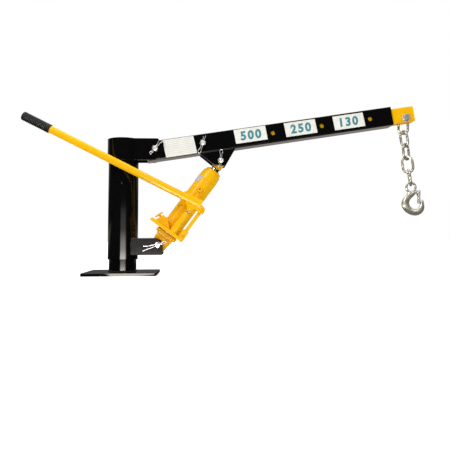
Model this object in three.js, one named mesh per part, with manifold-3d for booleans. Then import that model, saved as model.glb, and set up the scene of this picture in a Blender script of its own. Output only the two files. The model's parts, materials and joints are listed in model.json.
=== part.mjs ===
// Fixed hydraulic jib crane: swivelling mast, telescopic boom, bottle jack, chain and hook.
// Millimetres, +Z up, +X along the boom, origin on the mast axis under the base plate.
import * as THREE from 'three';
import { mergeVertices, toCreasedNormals } from 'three/addons/utils/BufferGeometryUtils.js';
import Module from 'manifold-3d';

const wasm = await Module();
wasm.setup();
const rad = THREE.MathUtils.degToRad;
const deg = THREE.MathUtils.radToDeg;

// Clearances, and the overrun of every cutting tool
const seat = 0.3;
const boreGap = 0.3;
const overrun = 900;

// Flats on round shapes
const mastSides = 40;
const tankSides = 30;
const rodSides = 20;
const holeSides = 16;
const screwSides = 12;

// Base plate and fixed post
const plateSide = 240;
const plateThick = 10;
const plateCorner = 5;
const anchorInset = 25;
const anchorRadius = 7;
const postRadius = 46.5;
const postWall = 4;
const postTop = 434;
const postCapThick = 8;
const washerThick = 3;
const washerInset = 6.5;
const washerBore = 12;

// Mast sleeve
const sleeveWall = 4;
const sleeveBottom = 50.7;
const sleeveRise = 25;
const mastCapThick = 7;
const nippleHeight = 307;
const nippleRadius = 4;
const nippleStem = 2;
const nippleSink = 2;
const nippleReach = 8;

// Head bracket: a strap bent round the sleeve, its two cheeks beside the boom
const strapThick = 4;
const strapDrop = 47.5;
const cheekGap = 1;
const cheekEnd = 138.5;
const cheekLowRise = 11.5;
const cheekMidRise = 23;
const cheekFrontRise = 24;
const cheekTopRise = 16.5;
const cheekLowSetback = 30.5;
const cheekMidSetback = 13.5;
const cheekTopSetback = 20.5;

// Lower bracket: two cheeks and a web against the sleeve
const shoeThick = 6;
const shoeRear = 25.4;
const shoeBottom = 65;
const shoeTop = 122;
const shoeEnd = 137;
const shoeRound = 26;
const shoeCorner = 5;
const shoeWebThick = 5;

// Pins with a head at the back and a spring clip in front
const pinRadius = 8;
const pinTail = 5.5;
const pinEdge = 1.2;
const pinHeadRadius = 13;
const pinHeadThick = 5;
const clipRadius = 1.75;
const clipStandOff = 6;
const clipLength = 38;
const clipReach = 18.6;
const longClipLength = 53;
const longClipReach = 13;
const clipSlack = 0.6;

// Boom pivot and tilt
const pivotX = 111.3;
const pivotDrop = 9.3;
const boomTilt = rad(8.78);

// Outer boom, measured from the pivot along its length
const boomSide = 66;
const boomWall = 4;
const boomCorner = 4;
const boomDrop = 3.6;
const boomRear = -34;
const boomFront = 837;
const lockPinAt = 164;
const lockHoleCount = 3;
const lockHoleFirst = 408.5;
const lockHolePitch = 174;
const lockHoleRadius = 7.5;

// Gusset cheeks under the boom
const gussetThick = 6;
const gussetTopRear = 147;
const gussetTopFront = 271;
const gussetLowRear = 187;
const gussetLowFront = 226;
const gussetLowRearDrop = 81;
const gussetLowFrontDrop = 93;
const jackPinAt = 215.7;
const jackPinDrop = 72.7;

// Inner boom and load bolt
const innerPlay = 4;
const innerWall = 3.5;
const innerCorner = 4;
const innerStopGap = 1.2;
const innerHoleSetback = 36;
const loadReach = 50.7;
const loadSetback = 31.3;
const loadDrop = 17;
const loadRadius = 7;
const loadHeadRadius = 12.4;
const loadHeadThick = 9;
const loadNutThick = 11;
const loadWasherRadius = 14.5;
const loadWasherThick = 2.6;
const loadTail = 4;
const slotFront = 27;
const slotRear = 37;
const slotHalfWidth = 8;

// Chain
const wireRadius = 4.5;
const linkGap = 1;
const linkInnerLength = 47.6;
const linkInnerWidth = 27;
const firstInnerLength = 56;
const firstInnerWidth = 25;
const linkTurns = [0, -73, 39, -36, -106].map(rad);
const linkLeans = [-1.8, 8.8, 4.5, 7, 7.5].map(rad);

// Hook and latch
const hookLength = 101.8;
const eyeShare = 0.165;
const eyeWireShare = 0.0432;
const latchPinOutShare = 0.2505;
const latchPinDropShare = 0.167;
const latchHalfWidthShare = 0.0747;
const latchLengthShare = 0.398;
const latchTipDepthShare = 0.059;
const latchRootDepthShare = 0.118;
const hookLugShare = 0.0639;
const hookLugNearShare = -0.0157;
const springLegShare = 0.167;
const latchLean = rad(-3);
const latchRunGap = 1;
const latchThick = 1.8;
const latchRivetRadius = 2.6;
const latchRivetRim = 1.6;
const lugPlay = 0.4;
const springWire = 0.6;
const springPlay = 0.4;
const springStart = rad(225);
const springEnd = rad(-380);

// Jack foot, measured along the jack's own axis from the lower pin
const jackPinX = 121;
const jackPinZ = 96.7;
const footLugHalf = 21;
const footLugEnd = 26;
const footLugRoot = 32;
const footHalf = 38;
const footBottom = 39.5;
const footThick = 12;
const footCorner = 6;
const footScrewAt = 29;
const footScrewRadius = 3;
const footScrewHead = 6;
const footScrewRecess = 0.6;
const footScrewRim = 0.55;
const footScrewTip = 3;

// Cast base: pad, slab, round body, valve block and pump boss
const castEdge = 1.5;
const castCorner = 3;
const padHeight = 3;
const padHalf = 35;
const slabThick = 11.2;
const slabLeft = -70;
const slabRight = 42;
const slabMargin = 18;
const slabWaist = -5;
const slabBack = 42;
const baseBodyRadius = 39;
const baseSkirt = 3;
const baseRise = 28;
const valveDepth = -46;
const valveTilt = rad(20);
const valveFaceAt = -50;
const valveFaceRise = 17;
const valveBlockRise = 27;
const valveBlockBack = -28;
const valveBlockHalf = 13;
const valveStem = 3;
const valveReach = 9.5;
const valveInside = 14;
const valveCollar = 5;
const valveBarRadius = 3;
const valveBarHalf = 14.5;
const valveEdge = 1;

// Reservoir, its cap and the pressure cylinder
const tankRadius = 34.3;
const tankWall = 2.6;
const capHeight = 43;
const capTaperRise = 11;
const capShoulder = 31.8;
const capShoulderRise = 32;
const capGroove = 2.2;
const capCrown = 28;
const capCrownStep = 3;
const cylinderRadius = 24;
const cylinderWall = 4.5;
const plugDrop = 40;
const plugRadius = 10;
const plugThick = 4.5;
const plugRim = 1.5;
const plugDimple = 2.2;
const plugNeckRadius = 5;

// Ram and its head
const ramRadius = 14.6;
const ramGap = 3;
const ramRest = 24;
const ramShow = 11;
const ramSocket = 16;
const headDrop = 29;
const headCollarRadius = 17.1;
const headBossRadius = 15.4;
const headBossGap = 1;

// Pump and its link, in a plane in front of the jack
const handleGap = 8.7;
const pumpAt = 15.5;
const pumpBossRadius = 13.5;
const pumpBossRise = 38;
const pumpTubeRadius = 11;
const pumpTubeRise = 20;
const pumpTubeDrop = 15;
const plungerRadius = 6.5;
const plungerRest = 12;
const plungerEyeHalf = 4;
const plungerEyeRadius = 8;
const plungerPinDrop = 18.1;
const plungerPinRadius = 4;
const plungerEyeSlack = 1.3;
const linkFootAt = 47.5;
const linkFootRise = 12.4;
const linkPinSpan = 100.7;
const linkHalfWidth = 6;
const linkHalfThick = 5;
const linkPinRadius = 4;
const lugHalfWidth = 10.5;
const lugRise = 17.6;
const lugCheek = 4;

// Handle socket, handle and grip
const leverTilt = rad(9.82);
const tubeAbovePin = 16.8;
const socketRadius = 16;
const socketLeft = -79;
const socketRight = -8;
const socketCheekHalf = 13;
const socketCheekThick = 3;
const socketLobe = 11;
const linkLobe = 11.8;
const rivetHeadRadius = 6;
const rivetHeadThick = 2.5;
const rivetEdge = 0.6;
const handleRadius = 12.5;
const handleWall = 2;
const handleInside = -12;
const handleEnd = -666;
const gripLength = 98;
const gripThick = 2.2;
const gripCap = 3;
const clampScrewAt = -73;
const clampScrewRadius = 3;
const clampScrewLift = 3.5;

// Sizes and places that follow from the ones above
const anchorOffset = plateSide / 2 - anchorInset;
const washerRadius = postRadius - washerInset;
const sleeveRadius = postRadius + boreGap + sleeveWall;
const sleeveTop = postTop + sleeveRise;
const pivotZ = postTop - pivotDrop;
const strapBottom = postTop - strapDrop;
const cheekInner = boomSide / 2 + cheekGap;
const cheekCutLow = strapBottom + cheekLowRise;
const cheekCutMid = cheekCutLow + cheekMidRise;
const cheekCutHigh = cheekCutMid + cheekFrontRise;
const strapTop = cheekCutHigh + cheekTopRise;
const clipTail = pinRadius + clipReach;
const longClipTail = pinRadius + longClipReach;
const innerSide = boomSide - 2 * boomWall - innerPlay;
const loadAt = boomFront + loadReach;
const innerEnd = loadAt + loadSetback;
const eyeRadius = eyeShare * hookLength;
const eyeWire = eyeWireShare * hookLength;
const latchPinOut = latchPinOutShare * hookLength;
const latchPinDrop = latchPinDropShare * hookLength;
const latchHalfWidth = latchHalfWidthShare * hookLength;
const latchInside = latchHalfWidth - latchThick;
const hookLugRadius = hookLugShare * hookLength;
const hookLugNear = hookLugNearShare * hookLength;
const hookLugFar = latchInside - lugPlay;
const springCoil = latchRivetRadius + springPlay + springWire;
const headBossHalf = boomSide / 2 - gussetThick - headBossGap;
const pumpPlane = -(sleeveRadius + handleRadius + handleGap);
const slabFront = pumpPlane - slabMargin;

// Materials
const paint = (color, roughness, metalness) => new THREE.MeshStandardMaterial({ color, roughness, metalness });
const black = paint(0x17181a, 0.32, 0);
const yellow = paint(0xf6b50c, 0.28, 0);
const zinc = paint(0xd3d5d4, 0.3, 1);
const passivated = paint(0xb7b08d, 0.35, 1);
const chrome = paint(0xd9dcdf, 0.12, 1);
const steel = paint(0x6c6e70, 0.45, 1);
const bronze = paint(0xa9803c, 0.4, 1);
const rubber = paint(0x1c1c1c, 0.7, 0);

const crane = new THREE.Group();
crane.name = 'fixed_hydraulic_jib_crane';

// Frames of the tilted groups
const shift = (x, y, z) => new THREE.Matrix4().makeTranslation(x, y, z);
const lean = (angle) => new THREE.Matrix4().makeRotationY(angle);
const world = new THREE.Matrix4();
const boomFrame = lean(-boomTilt).setPosition(pivotX, 0, pivotZ);
const upperPin = new THREE.Vector3(jackPinAt, 0, -jackPinDrop).applyMatrix4(boomFrame);
const lowerPin = new THREE.Vector3(jackPinX, 0, jackPinZ);
const jackPinSpan = upperPin.distanceTo(lowerPin);
const jackLean = Math.atan2(upperPin.x - jackPinX, upperPin.z - jackPinZ);
const jackFrame = lean(jackLean).setPosition(lowerPin);
const loadPoint = new THREE.Vector3(loadAt, 0, -loadDrop).applyMatrix4(boomFrame);

// Heights along the jack
const footTop = footBottom + footThick;
const padTop = footTop + seat + padHeight;
const slabTop = padTop + slabThick;
const baseTop = slabTop + baseRise;
const headBottom = jackPinSpan - headDrop;
const capTop = headBottom - ramShow;
const tankTop = capTop - capHeight;
const valveFaceHeight = slabTop + valveFaceRise;
const linkFootHeight = slabTop + linkFootRise;
const linkTopHeight = linkFootHeight + linkPinSpan;
const plungerPinHeight = linkTopHeight - plungerPinDrop;
const pumpTubeBottom = slabTop + pumpTubeRise;
const pumpTubeTop = plungerPinHeight - pumpTubeDrop;

// Frame of the lever, and the plunger's rivet in it
const leverFrame = jackFrame.clone().multiply(lean(-leverTilt).setPosition(linkFootAt, pumpPlane, linkTopHeight));
const plungerRivetAt = new THREE.Vector3(pumpAt - linkFootAt, 0, -plungerPinDrop).applyMatrix4(lean(leverTilt));

// Turn a geometry into a solid, with its faces outward
function solid(geometry) {
  const bare = geometry.clone();
  bare.deleteAttribute('normal');
  bare.deleteAttribute('uv');
  const welded = mergeVertices(bare, seat / 1000);
  const points = welded.attributes.position.array;
  const corners = Uint32Array.from(welded.index.array);
  if (signedVolume(points, corners) < 0) {
    for (let i = 0; i < corners.length; i += 3) {
      [corners[i], corners[i + 1]] = [corners[i + 1], corners[i]];
    }
  }
  const kept = [];
  for (let i = 0; i < corners.length; i += 3) {
    const [a, b, c] = corners.slice(i, i + 3);
    if (a !== b && b !== c && c !== a) kept.push(a, b, c);
  }
  return new wasm.Manifold(new wasm.Mesh({
    numProp: 3,
    vertProperties: Float32Array.from(points),
    triVerts: Uint32Array.from(kept),
  }));
}

function signedVolume(points, corners) {
  const at = (i) => new THREE.Vector3().fromArray(points, 3 * i);
  let sum = 0;
  for (let i = 0; i < corners.length; i += 3) {
    sum += at(corners[i]).dot(at(corners[i + 1]).cross(at(corners[i + 2])));
  }
  return sum;
}

// Add a finished solid to the crane as a named piece
function piece(name, body, material, frame = world) {
  const mesh = body.getMesh();
  const geometry = new THREE.BufferGeometry();
  geometry.setAttribute('position', new THREE.BufferAttribute(Float32Array.from(mesh.vertProperties), 3));
  geometry.setIndex(new THREE.BufferAttribute(Uint32Array.from(mesh.triVerts), 1));
  geometry.applyMatrix4(frame);
  const object = new THREE.Mesh(toCreasedNormals(geometry, rad(36)), material);
  object.name = name;
  crane.add(object);
}

// Solid of revolution about Z from [radius, height] pairs
function turned(profile, sides = tankSides) {
  const points = profile.map(([radius, height]) => new THREE.Vector2(radius, height));
  if (profile[0][0] > 0) points.push(points[0].clone());
  return solid(new THREE.LatheGeometry(points, sides).rotateX(Math.PI / 2));
}

function rod(radius, low, high, edge = 0, sides = rodSides) {
  if (edge === 0) return turned([[0, low], [radius, low], [radius, high], [0, high]], sides);
  return turned([
    [0, low], [radius - edge, low], [radius, low + edge],
    [radius, high - edge], [radius - edge, high], [0, high],
  ], sides);
}

const pipe = (outer, inner, low, high, sides = tankSides) => (
  turned([[inner, low], [outer, low], [outer, high], [inner, high]], sides)
);

const alongX = (body) => body.rotate([0, 90, 0]);
const alongY = (body) => body.rotate([-90, 0, 0]);
const hexagon = (radius, low, high) => rod(radius, low, high, 0, 6);

// Cutting tool for a round hole across the crane, at a place in X and Z
const crossHole = (radius, x, z, sides = holeSides) => (
  alongY(rod(radius, -overrun, overrun, 0, sides)).translate([x, 0, z])
);

// Flat shape with rounded corners, from [x, y, corner radius] entries
function outline(corners) {
  const shape = new THREE.Shape();
  const count = corners.length;
  corners.forEach(([x, y, round = 0], i) => {
    const here = new THREE.Vector2(x, y);
    const before = new THREE.Vector2(...corners[(i + count - 1) % count].slice(0, 2));
    const after = new THREE.Vector2(...corners[(i + 1) % count].slice(0, 2));
    const start = here.clone().add(before.sub(here).setLength(round));
    const end = here.clone().add(after.sub(here).setLength(round));
    if (i === 0) shape.moveTo(start.x, start.y);
    else shape.lineTo(start.x, start.y);
    if (round > 0) shape.quadraticCurveTo(here.x, here.y, end.x, end.y);
  });
  shape.closePath();
  return shape;
}

const rectangle = (left, right, low, high, round = 0) => outline([
  [left, low, round], [right, low, round], [right, high, round], [left, high, round],
]);

function extruded(shape, low, high, curveSegments = 4) {
  const depth = high - low;
  const geometry = new THREE.ExtrudeGeometry(shape, { depth, bevelEnabled: false, curveSegments });
  return solid(geometry).translate([0, 0, low]);
}

// Shape drawn in X and Z, thickened along Y
const upright = (shape, near, far, curveSegments = 4) => (
  extruded(shape, -far, -near, curveSegments).rotate([90, 0, 0])
);

// Shape drawn in Y and Z, stretched along X
const beam = (shape, start, end) => extruded(shape, start, end, 3).rotate([90, 0, 90]);

// Round wire along a curve
function wire(curve, radius, steps, sides = 5) {
  const section = new THREE.Shape();
  for (let i = 0; i < sides; i += 1) {
    const angle = (2 * Math.PI * i) / sides;
    const x = radius * Math.cos(angle);
    const y = radius * Math.sin(angle);
    if (i === 0) section.moveTo(x, y);
    else section.lineTo(x, y);
  }
  section.closePath();
  return solid(new THREE.ExtrudeGeometry(section, { steps, extrudePath: curve, curveSegments: 1 }));
}

// Skin over a row of rings of points, closed at both ends or round on itself
function skinned(rings, closed) {
  const sides = rings[0].length;
  const points = rings.flat().flatMap((point) => point.toArray());
  const corners = [];
  const spans = closed ? rings.length : rings.length - 1;
  for (let i = 0; i < spans; i += 1) {
    const next = ((i + 1) % rings.length) * sides;
    for (let j = 0; j < sides; j += 1) {
      const k = (j + 1) % sides;
      corners.push(i * sides + j, i * sides + k, next + k);
      corners.push(i * sides + j, next + k, next + j);
    }
  }
  if (!closed) {
    const last = (rings.length - 1) * sides;
    for (let j = 1; j < sides - 1; j += 1) {
      corners.push(0, j + 1, j);
      corners.push(last, last + j, last + j + 1);
    }
  }
  const geometry = new THREE.BufferGeometry();
  geometry.setAttribute('position', new THREE.Float32BufferAttribute(points, 3));
  geometry.setIndex(corners);
  return solid(geometry);
}

// Closed loop of round bar in the XZ plane, centred on the origin
function loop(innerWidth, innerLength, barRadius, arcSteps = 7, sides = 8) {
  const bend = innerWidth / 2 + barRadius;
  const straight = (innerLength - innerWidth) / 2;
  const rings = [];
  for (const half of [0, 1]) {
    for (let i = 0; i <= arcSteps; i += 1) {
      if (straight === 0 && i === arcSteps) continue;
      const angle = half * Math.PI + (Math.PI * i) / arcSteps;
      const out = new THREE.Vector3(Math.cos(angle), 0, Math.sin(angle));
      const middle = out.clone().multiplyScalar(bend);
      middle.z += half === 0 ? straight : -straight;
      rings.push(ringPoints(middle, out, barRadius, barRadius, sides));
    }
  }
  return skinned(rings, true);
}

function ringPoints(middle, out, halfOut, halfAcross, sides) {
  const ring = [];
  for (let j = 0; j < sides; j += 1) {
    const turn = (2 * Math.PI * (j + 0.5)) / sides;
    const point = middle.clone().addScaledVector(out, halfOut * Math.cos(turn));
    point.y += halfAcross * Math.sin(turn);
    ring.push(point);
  }
  return ring;
}

// Fixed base: plate, post, and the cap and washer that the mast turns on
function buildBase() {
  const half = plateSide / 2;
  const sheet = rectangle(-half, half, -half, half, plateCorner);
  for (const x of [-anchorOffset, anchorOffset]) {
    for (const y of [-anchorOffset, anchorOffset]) {
      sheet.holes.push(new THREE.Path().absarc(x, y, anchorRadius, 0, 2 * Math.PI, true));
    }
  }
  piece('base_plate', extruded(sheet, 0, plateThick, 6), black);
  piece('post', pipe(postRadius, postRadius - postWall, plateThick + seat, postTop), black);
  const capLow = postTop + seat;
  piece('post_cap', rod(postRadius, capLow, capLow + postCapThick), steel);
  const washerLow = capLow + postCapThick + seat;
  piece('thrust_washer', pipe(washerRadius, washerBore, washerLow, washerLow + washerThick, rodSides), bronze);
}

// Swivelling mast: sleeve, cap, head bracket, lower bracket and grease nipple
function buildMast() {
  const bore = postRadius + boreGap;
  const nippleHole = alongY(rod(nippleStem + boreGap, -overrun, 0, 0, screwSides)).translate([0, 0, nippleHeight]);
  const sleeve = pipe(sleeveRadius, bore, sleeveBottom, sleeveTop, mastSides);
  piece('mast_sleeve', sleeve.subtract(nippleHole), black);
  const capLow = postTop + seat + postCapThick + seat + washerThick + seat;
  piece('mast_cap', rod(postRadius, capLow, capLow + mastCapThick), black);
  piece('head_bracket', headBracket(), black);
  piece('lower_bracket', lowerBracket(), black);
  const nipple = turned([
    [0, -nippleSink], [nippleStem, -nippleSink], [nippleStem, seat], [nippleRadius, seat],
    [nippleRadius, nippleReach / 2], [nippleStem, nippleReach / 2 + seat],
    [nippleStem, nippleReach - seat], [0, nippleReach],
  ], screwSides).rotate([90, 0, 0]);
  piece('grease_nipple', nipple.translate([0, -sleeveRadius, nippleHeight]), black);
}

function headBracket() {
  const inner = sleeveRadius + seat;
  const outer = inner + strapThick;
  const cheekOuter = cheekInner + strapThick;
  const outerAngle = Math.asin(cheekOuter / outer);
  const innerAngle = Math.asin(cheekInner / inner);
  const plan = new THREE.Shape();
  plan.moveTo(cheekEnd, cheekOuter);
  plan.lineTo(outer * Math.cos(outerAngle), cheekOuter);
  plan.absarc(0, 0, outer, outerAngle, 2 * Math.PI - outerAngle, false);
  plan.lineTo(cheekEnd, -cheekOuter);
  plan.lineTo(cheekEnd, -cheekInner);
  plan.lineTo(inner * Math.cos(innerAngle), -cheekInner);
  plan.absarc(0, 0, inner, 2 * Math.PI - innerAngle, innerAngle, true);
  plan.lineTo(cheekEnd, cheekInner);
  plan.closePath();
  const band = extruded(plan, strapBottom, strapTop, 17);
  const side = outline([
    [-overrun, strapBottom], [cheekEnd - cheekLowSetback, strapBottom, strapThick],
    [cheekEnd - cheekMidSetback, cheekCutLow, strapThick], [cheekEnd, cheekCutMid, strapThick],
    [cheekEnd, cheekCutHigh, strapThick], [cheekEnd - cheekTopSetback, strapTop], [-overrun, strapTop],
  ]);
  return band.intersect(upright(side, -outer, outer)).subtract(crossHole(pinRadius + boreGap, pivotX, pivotZ));
}

function lowerBracket() {
  const outer = cheekInner + shoeThick;
  const webStart = sleeveRadius + seat;
  const side = outline([
    [shoeRear, shoeBottom], [shoeEnd, shoeBottom, shoeCorner],
    [shoeEnd, shoeTop, shoeRound], [shoeRear, shoeTop],
  ]);
  const block = upright(side, -outer, outer);
  const gap = upright(rectangle(webStart + shoeWebThick, overrun, 0, overrun), -cheekInner, cheekInner);
  const mast = rod(webStart, 0, overrun, 0, mastSides);
  return block.subtract(gap).subtract(mast).subtract(crossHole(pinRadius + boreGap, jackPinX, jackPinZ));
}

// Pin along Y with a head at the back and a spring clip through its front end
function buildPin(name, frame, nearFace, farFace, clipAngle, clipSide, length = clipLength, tail = clipTail) {
  const clipPlane = nearFace - clipStandOff;
  const headLow = farFace + seat;
  const shank = alongY(rod(pinRadius, clipPlane - pinTail, headLow + pinHeadThick / 2, pinEdge));
  const head = alongY(rod(pinHeadRadius, headLow, headLow + pinHeadThick, pinEdge));
  const hole = alongX(rod(clipRadius + boreGap, -overrun, overrun, 0, screwSides));
  const turnedHole = hole.rotate([0, -deg(clipAngle), 0]).translate([0, clipPlane, 0]);
  piece(name, shank.add(head).subtract(turnedHole), zinc, frame);
  const clipFrame = frame.clone().multiply(lean(-clipAngle).setPosition(0, clipPlane, 0));
  piece(`${name}_clip`, springClip(clipSide, length, tail), zinc, clipFrame);
}

// Clip wire beyond the pin as shares of its length: straight leg, round end, sprung leg
const clipShares = [
  [0, 0], [0.35, 0], [0.62, 0], [0.78, -0.04], [0.93, 0], [0.99, 0.1],
  [0.93, 0.2], [0.8, 0.225], [0.62, 0.17], [0.45, 0.125], [0.36, 0.115],
];
// Both ends of the wire behind the pin as shares of its tail
const clipStraightShares = [[-1, 0], [-0.5, 0]];
const clipFlareShares = [[-0.49, 0.165], [-0.64, 0.19], [-0.86, 0.29]];
const clipBulgeAngles = [40, 65, 90, 115, 140].map(rad);

function springClip(side, length, tail) {
  const bulge = pinRadius + clipRadius + clipSlack;
  const scaled = (reach) => ([x, z]) => new THREE.Vector3(x * reach, 0, side * z * reach);
  const over = (angle) => new THREE.Vector3(bulge * Math.cos(angle), 0, side * bulge * Math.sin(angle));
  return wire(new THREE.CatmullRomCurve3([
    ...clipStraightShares.map(scaled(tail)), ...clipShares.map(scaled(length)),
    ...clipBulgeAngles.map(over), ...clipFlareShares.map(scaled(tail)),
  ]), clipRadius, 36);
}

function buildPins() {
  const bracketFace = cheekInner + strapThick;
  const shoeFace = cheekInner + shoeThick;
  const boomFace = boomSide / 2;
  const alongBoom = (x, z) => boomFrame.clone().multiply(shift(x, 0, z));
  buildPin('boom_pin', shift(pivotX, 0, pivotZ), -bracketFace, bracketFace, rad(51), 1);
  const shoePin = shift(jackPinX, 0, jackPinZ);
  buildPin('lower_jack_pin', shoePin, -shoeFace, shoeFace, rad(190), 1, longClipLength, longClipTail);
  buildPin('lock_pin', alongBoom(lockPinAt, -boomDrop), -boomFace, boomFace, rad(-116), -1);
  buildPin('upper_jack_pin', alongBoom(jackPinAt, -jackPinDrop), -boomFace, boomFace, rad(75), 1);
}

function squareTube(side, wall, corner, start, end, middle) {
  const half = side / 2;
  const section = rectangle(-half, half, -half, half, corner);
  const inner = half - wall;
  const hollow = rectangle(-inner, inner, -inner, inner, corner / 3);
  section.holes.push(new THREE.Path(hollow.getPoints(3)));
  return beam(section, start, end).translate([0, 0, middle]);
}

// Outer boom with its gusset cheeks
function buildBoom() {
  let tube = squareTube(boomSide, boomWall, boomCorner, boomRear, boomFront, -boomDrop);
  tube = tube.subtract(crossHole(pinRadius + boreGap, 0, 0));
  tube = tube.subtract(crossHole(pinRadius + boreGap, lockPinAt, -boomDrop));
  for (let i = 0; i < lockHoleCount; i += 1) {
    tube = tube.subtract(crossHole(lockHoleRadius, lockHoleFirst + i * lockHolePitch, -boomDrop));
  }
  piece('outer_boom', tube, black, boomFrame);
  const half = boomSide / 2;
  const top = -boomDrop - half - seat;
  const side = outline([
    [gussetTopRear, top], [gussetLowRear, -gussetLowRearDrop, gussetThick],
    [gussetLowFront, -gussetLowFrontDrop, gussetThick], [gussetTopFront, top],
  ]);
  const hole = crossHole(pinRadius + boreGap, jackPinAt, -jackPinDrop);
  piece('gusset_near', upright(side, -half, gussetThick - half).subtract(hole), black, boomFrame);
  piece('gusset_far', upright(side, half - gussetThick, half).subtract(hole), black, boomFrame);
}

// Inner boom, resting in the outer one, with the bolt that carries the chain
function buildExtension() {
  const half = innerSide / 2;
  const middle = boomWall + seat + half - boomDrop - boomSide / 2;
  const start = lockPinAt + pinRadius + innerStopGap;
  let tube = squareTube(innerSide, innerWall, innerCorner, start, innerEnd, middle);
  tube = tube.subtract(crossHole(pinRadius + boreGap, start + innerHoleSetback, -boomDrop));
  tube = tube.subtract(crossHole(loadRadius + boreGap, loadAt, -loadDrop));
  const floor = middle - half;
  const slot = rectangle(loadAt - slotRear, loadAt + slotFront, -slotHalfWidth, slotHalfWidth, slotHalfWidth / 2);
  piece('inner_boom', tube.subtract(extruded(slot, floor - innerWall, floor + 2 * innerWall)), yellow, boomFrame);
  buildLoadBolt(half + seat);
}

function buildLoadBolt(face) {
  const frame = boomFrame.clone().multiply(shift(loadAt, 0, -loadDrop));
  const seatFace = face + loadWasherThick + seat;
  const washer = pipe(loadWasherRadius, loadRadius + boreGap, face, face + loadWasherThick, rodSides);
  piece('load_washer_near', alongY(washer).mirror([0, 1, 0]), zinc, frame);
  piece('load_washer_far', alongY(washer), zinc, frame);
  const head = alongY(hexagon(loadHeadRadius, seatFace, seatFace + loadHeadThick)).mirror([0, 1, 0]);
  const shankEnd = seatFace + loadNutThick + loadTail;
  const shank = alongY(rod(loadRadius, -seatFace - loadHeadThick / 2, shankEnd, pinEdge));
  piece('load_bolt', head.add(shank), zinc, frame);
  const nut = hexagon(loadHeadRadius, seatFace, seatFace + loadNutThick);
  const nutBore = rod(loadRadius + boreGap, 0, overrun, 0, holeSides);
  piece('load_nut', alongY(nut.subtract(nutBore)), zinc, frame);
}

// Five links, each hung in the one above, then the hook
function buildChain() {
  const hang = loadPoint.clone();
  linkTurns.forEach((turn, i) => {
    const length = i === 0 ? firstInnerLength : linkInnerLength;
    const width = i === 0 ? firstInnerWidth : linkInnerWidth;
    const tilt = lean(-linkLeans[i]);
    const above = i === 0 ? loadRadius + seat : wireRadius + linkGap;
    const place = tilt.clone().multiply(new THREE.Matrix4().makeRotationZ(turn));
    place.setPosition(new THREE.Vector3(0, 0, above - length / 2).applyMatrix4(tilt).add(hang));
    piece(`chain_link_${i + 1}`, loop(width, length, wireRadius), passivated, place);
    hang.add(new THREE.Vector3(0, 0, above - length - wireRadius).applyMatrix4(tilt));
  });
  const eyeLift = eyeWire + wireRadius + linkGap - eyeRadius;
  const frame = shift(hang.x, hang.y, hang.z + eyeLift);
  buildHook(frame);
  buildLatch(frame);
}

// Hook sections as shares of its length: outer x and z, inner x and z, half thickness
const hookShares = [
  [-0.088, -0.128, 0.128, -0.138, 0.054], [-0.131, -0.177, 0.157, -0.196, 0.074],
  [-0.183, -0.26, 0.14, -0.26, 0.088], [-0.255, -0.333, 0.059, -0.333, 0.098],
  [-0.317, -0.406, -0.027, -0.417, 0.103], [-0.354, -0.51, -0.071, -0.496, 0.108],
  [-0.364, -0.593, -0.081, -0.573, 0.108], [-0.349, -0.697, -0.059, -0.629, 0.108],
  [-0.287, -0.802, -0.025, -0.673, 0.108], [-0.183, -0.896, 0.025, -0.717, 0.108],
  [-0.047, -0.969, 0.069, -0.743, 0.108], [0.109, -1, 0.118, -0.751, 0.108],
  [0.245, -0.978, 0.167, -0.745, 0.103], [0.369, -0.896, 0.224, -0.713, 0.098],
  [0.442, -0.792, 0.26, -0.663, 0.088], [0.458, -0.697, 0.288, -0.609, 0.079],
  [0.453, -0.593, 0.307, -0.555, 0.069], [0.437, -0.489, 0.324, -0.486, 0.059],
  [0.416, -0.422, 0.342, -0.432, 0.044],
];

function buildHook(frame) {
  const rings = hookShares.map((shares) => {
    const [ox, oz, ix, iz, half] = shares.map((share) => share * hookLength);
    const outer = new THREE.Vector3(ox, 0, oz);
    const inner = new THREE.Vector3(ix, 0, iz);
    const middle = outer.clone().add(inner).multiplyScalar(0.5);
    const out = outer.clone().sub(inner);
    return ringPoints(middle, out.clone().normalize(), out.length() / 2, half, 10);
  });
  const eyeInner = 2 * (eyeRadius - eyeWire);
  const eye = loop(eyeInner, eyeInner, eyeWire, 10, 8);
  const x = latchPinOut;
  const z = -latchPinDrop;
  const lug = alongY(rod(hookLugRadius, hookLugNear, hookLugFar)).translate([x, 0, z]);
  const root = upright(outline([
    [x - 2 * hookLugRadius, z - hookLugRadius], [x, z - hookLugRadius],
    [x, z + hookLugRadius], [x - hookLugRadius, z + hookLugRadius],
  ]), hookLugNear, hookLugFar);
  const hole = crossHole(latchRivetRadius + boreGap, x, z, screwSides);
  piece('hook', skinned(rings, false).add(eye).add(lug).add(root).subtract(hole), passivated, frame);
}

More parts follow.
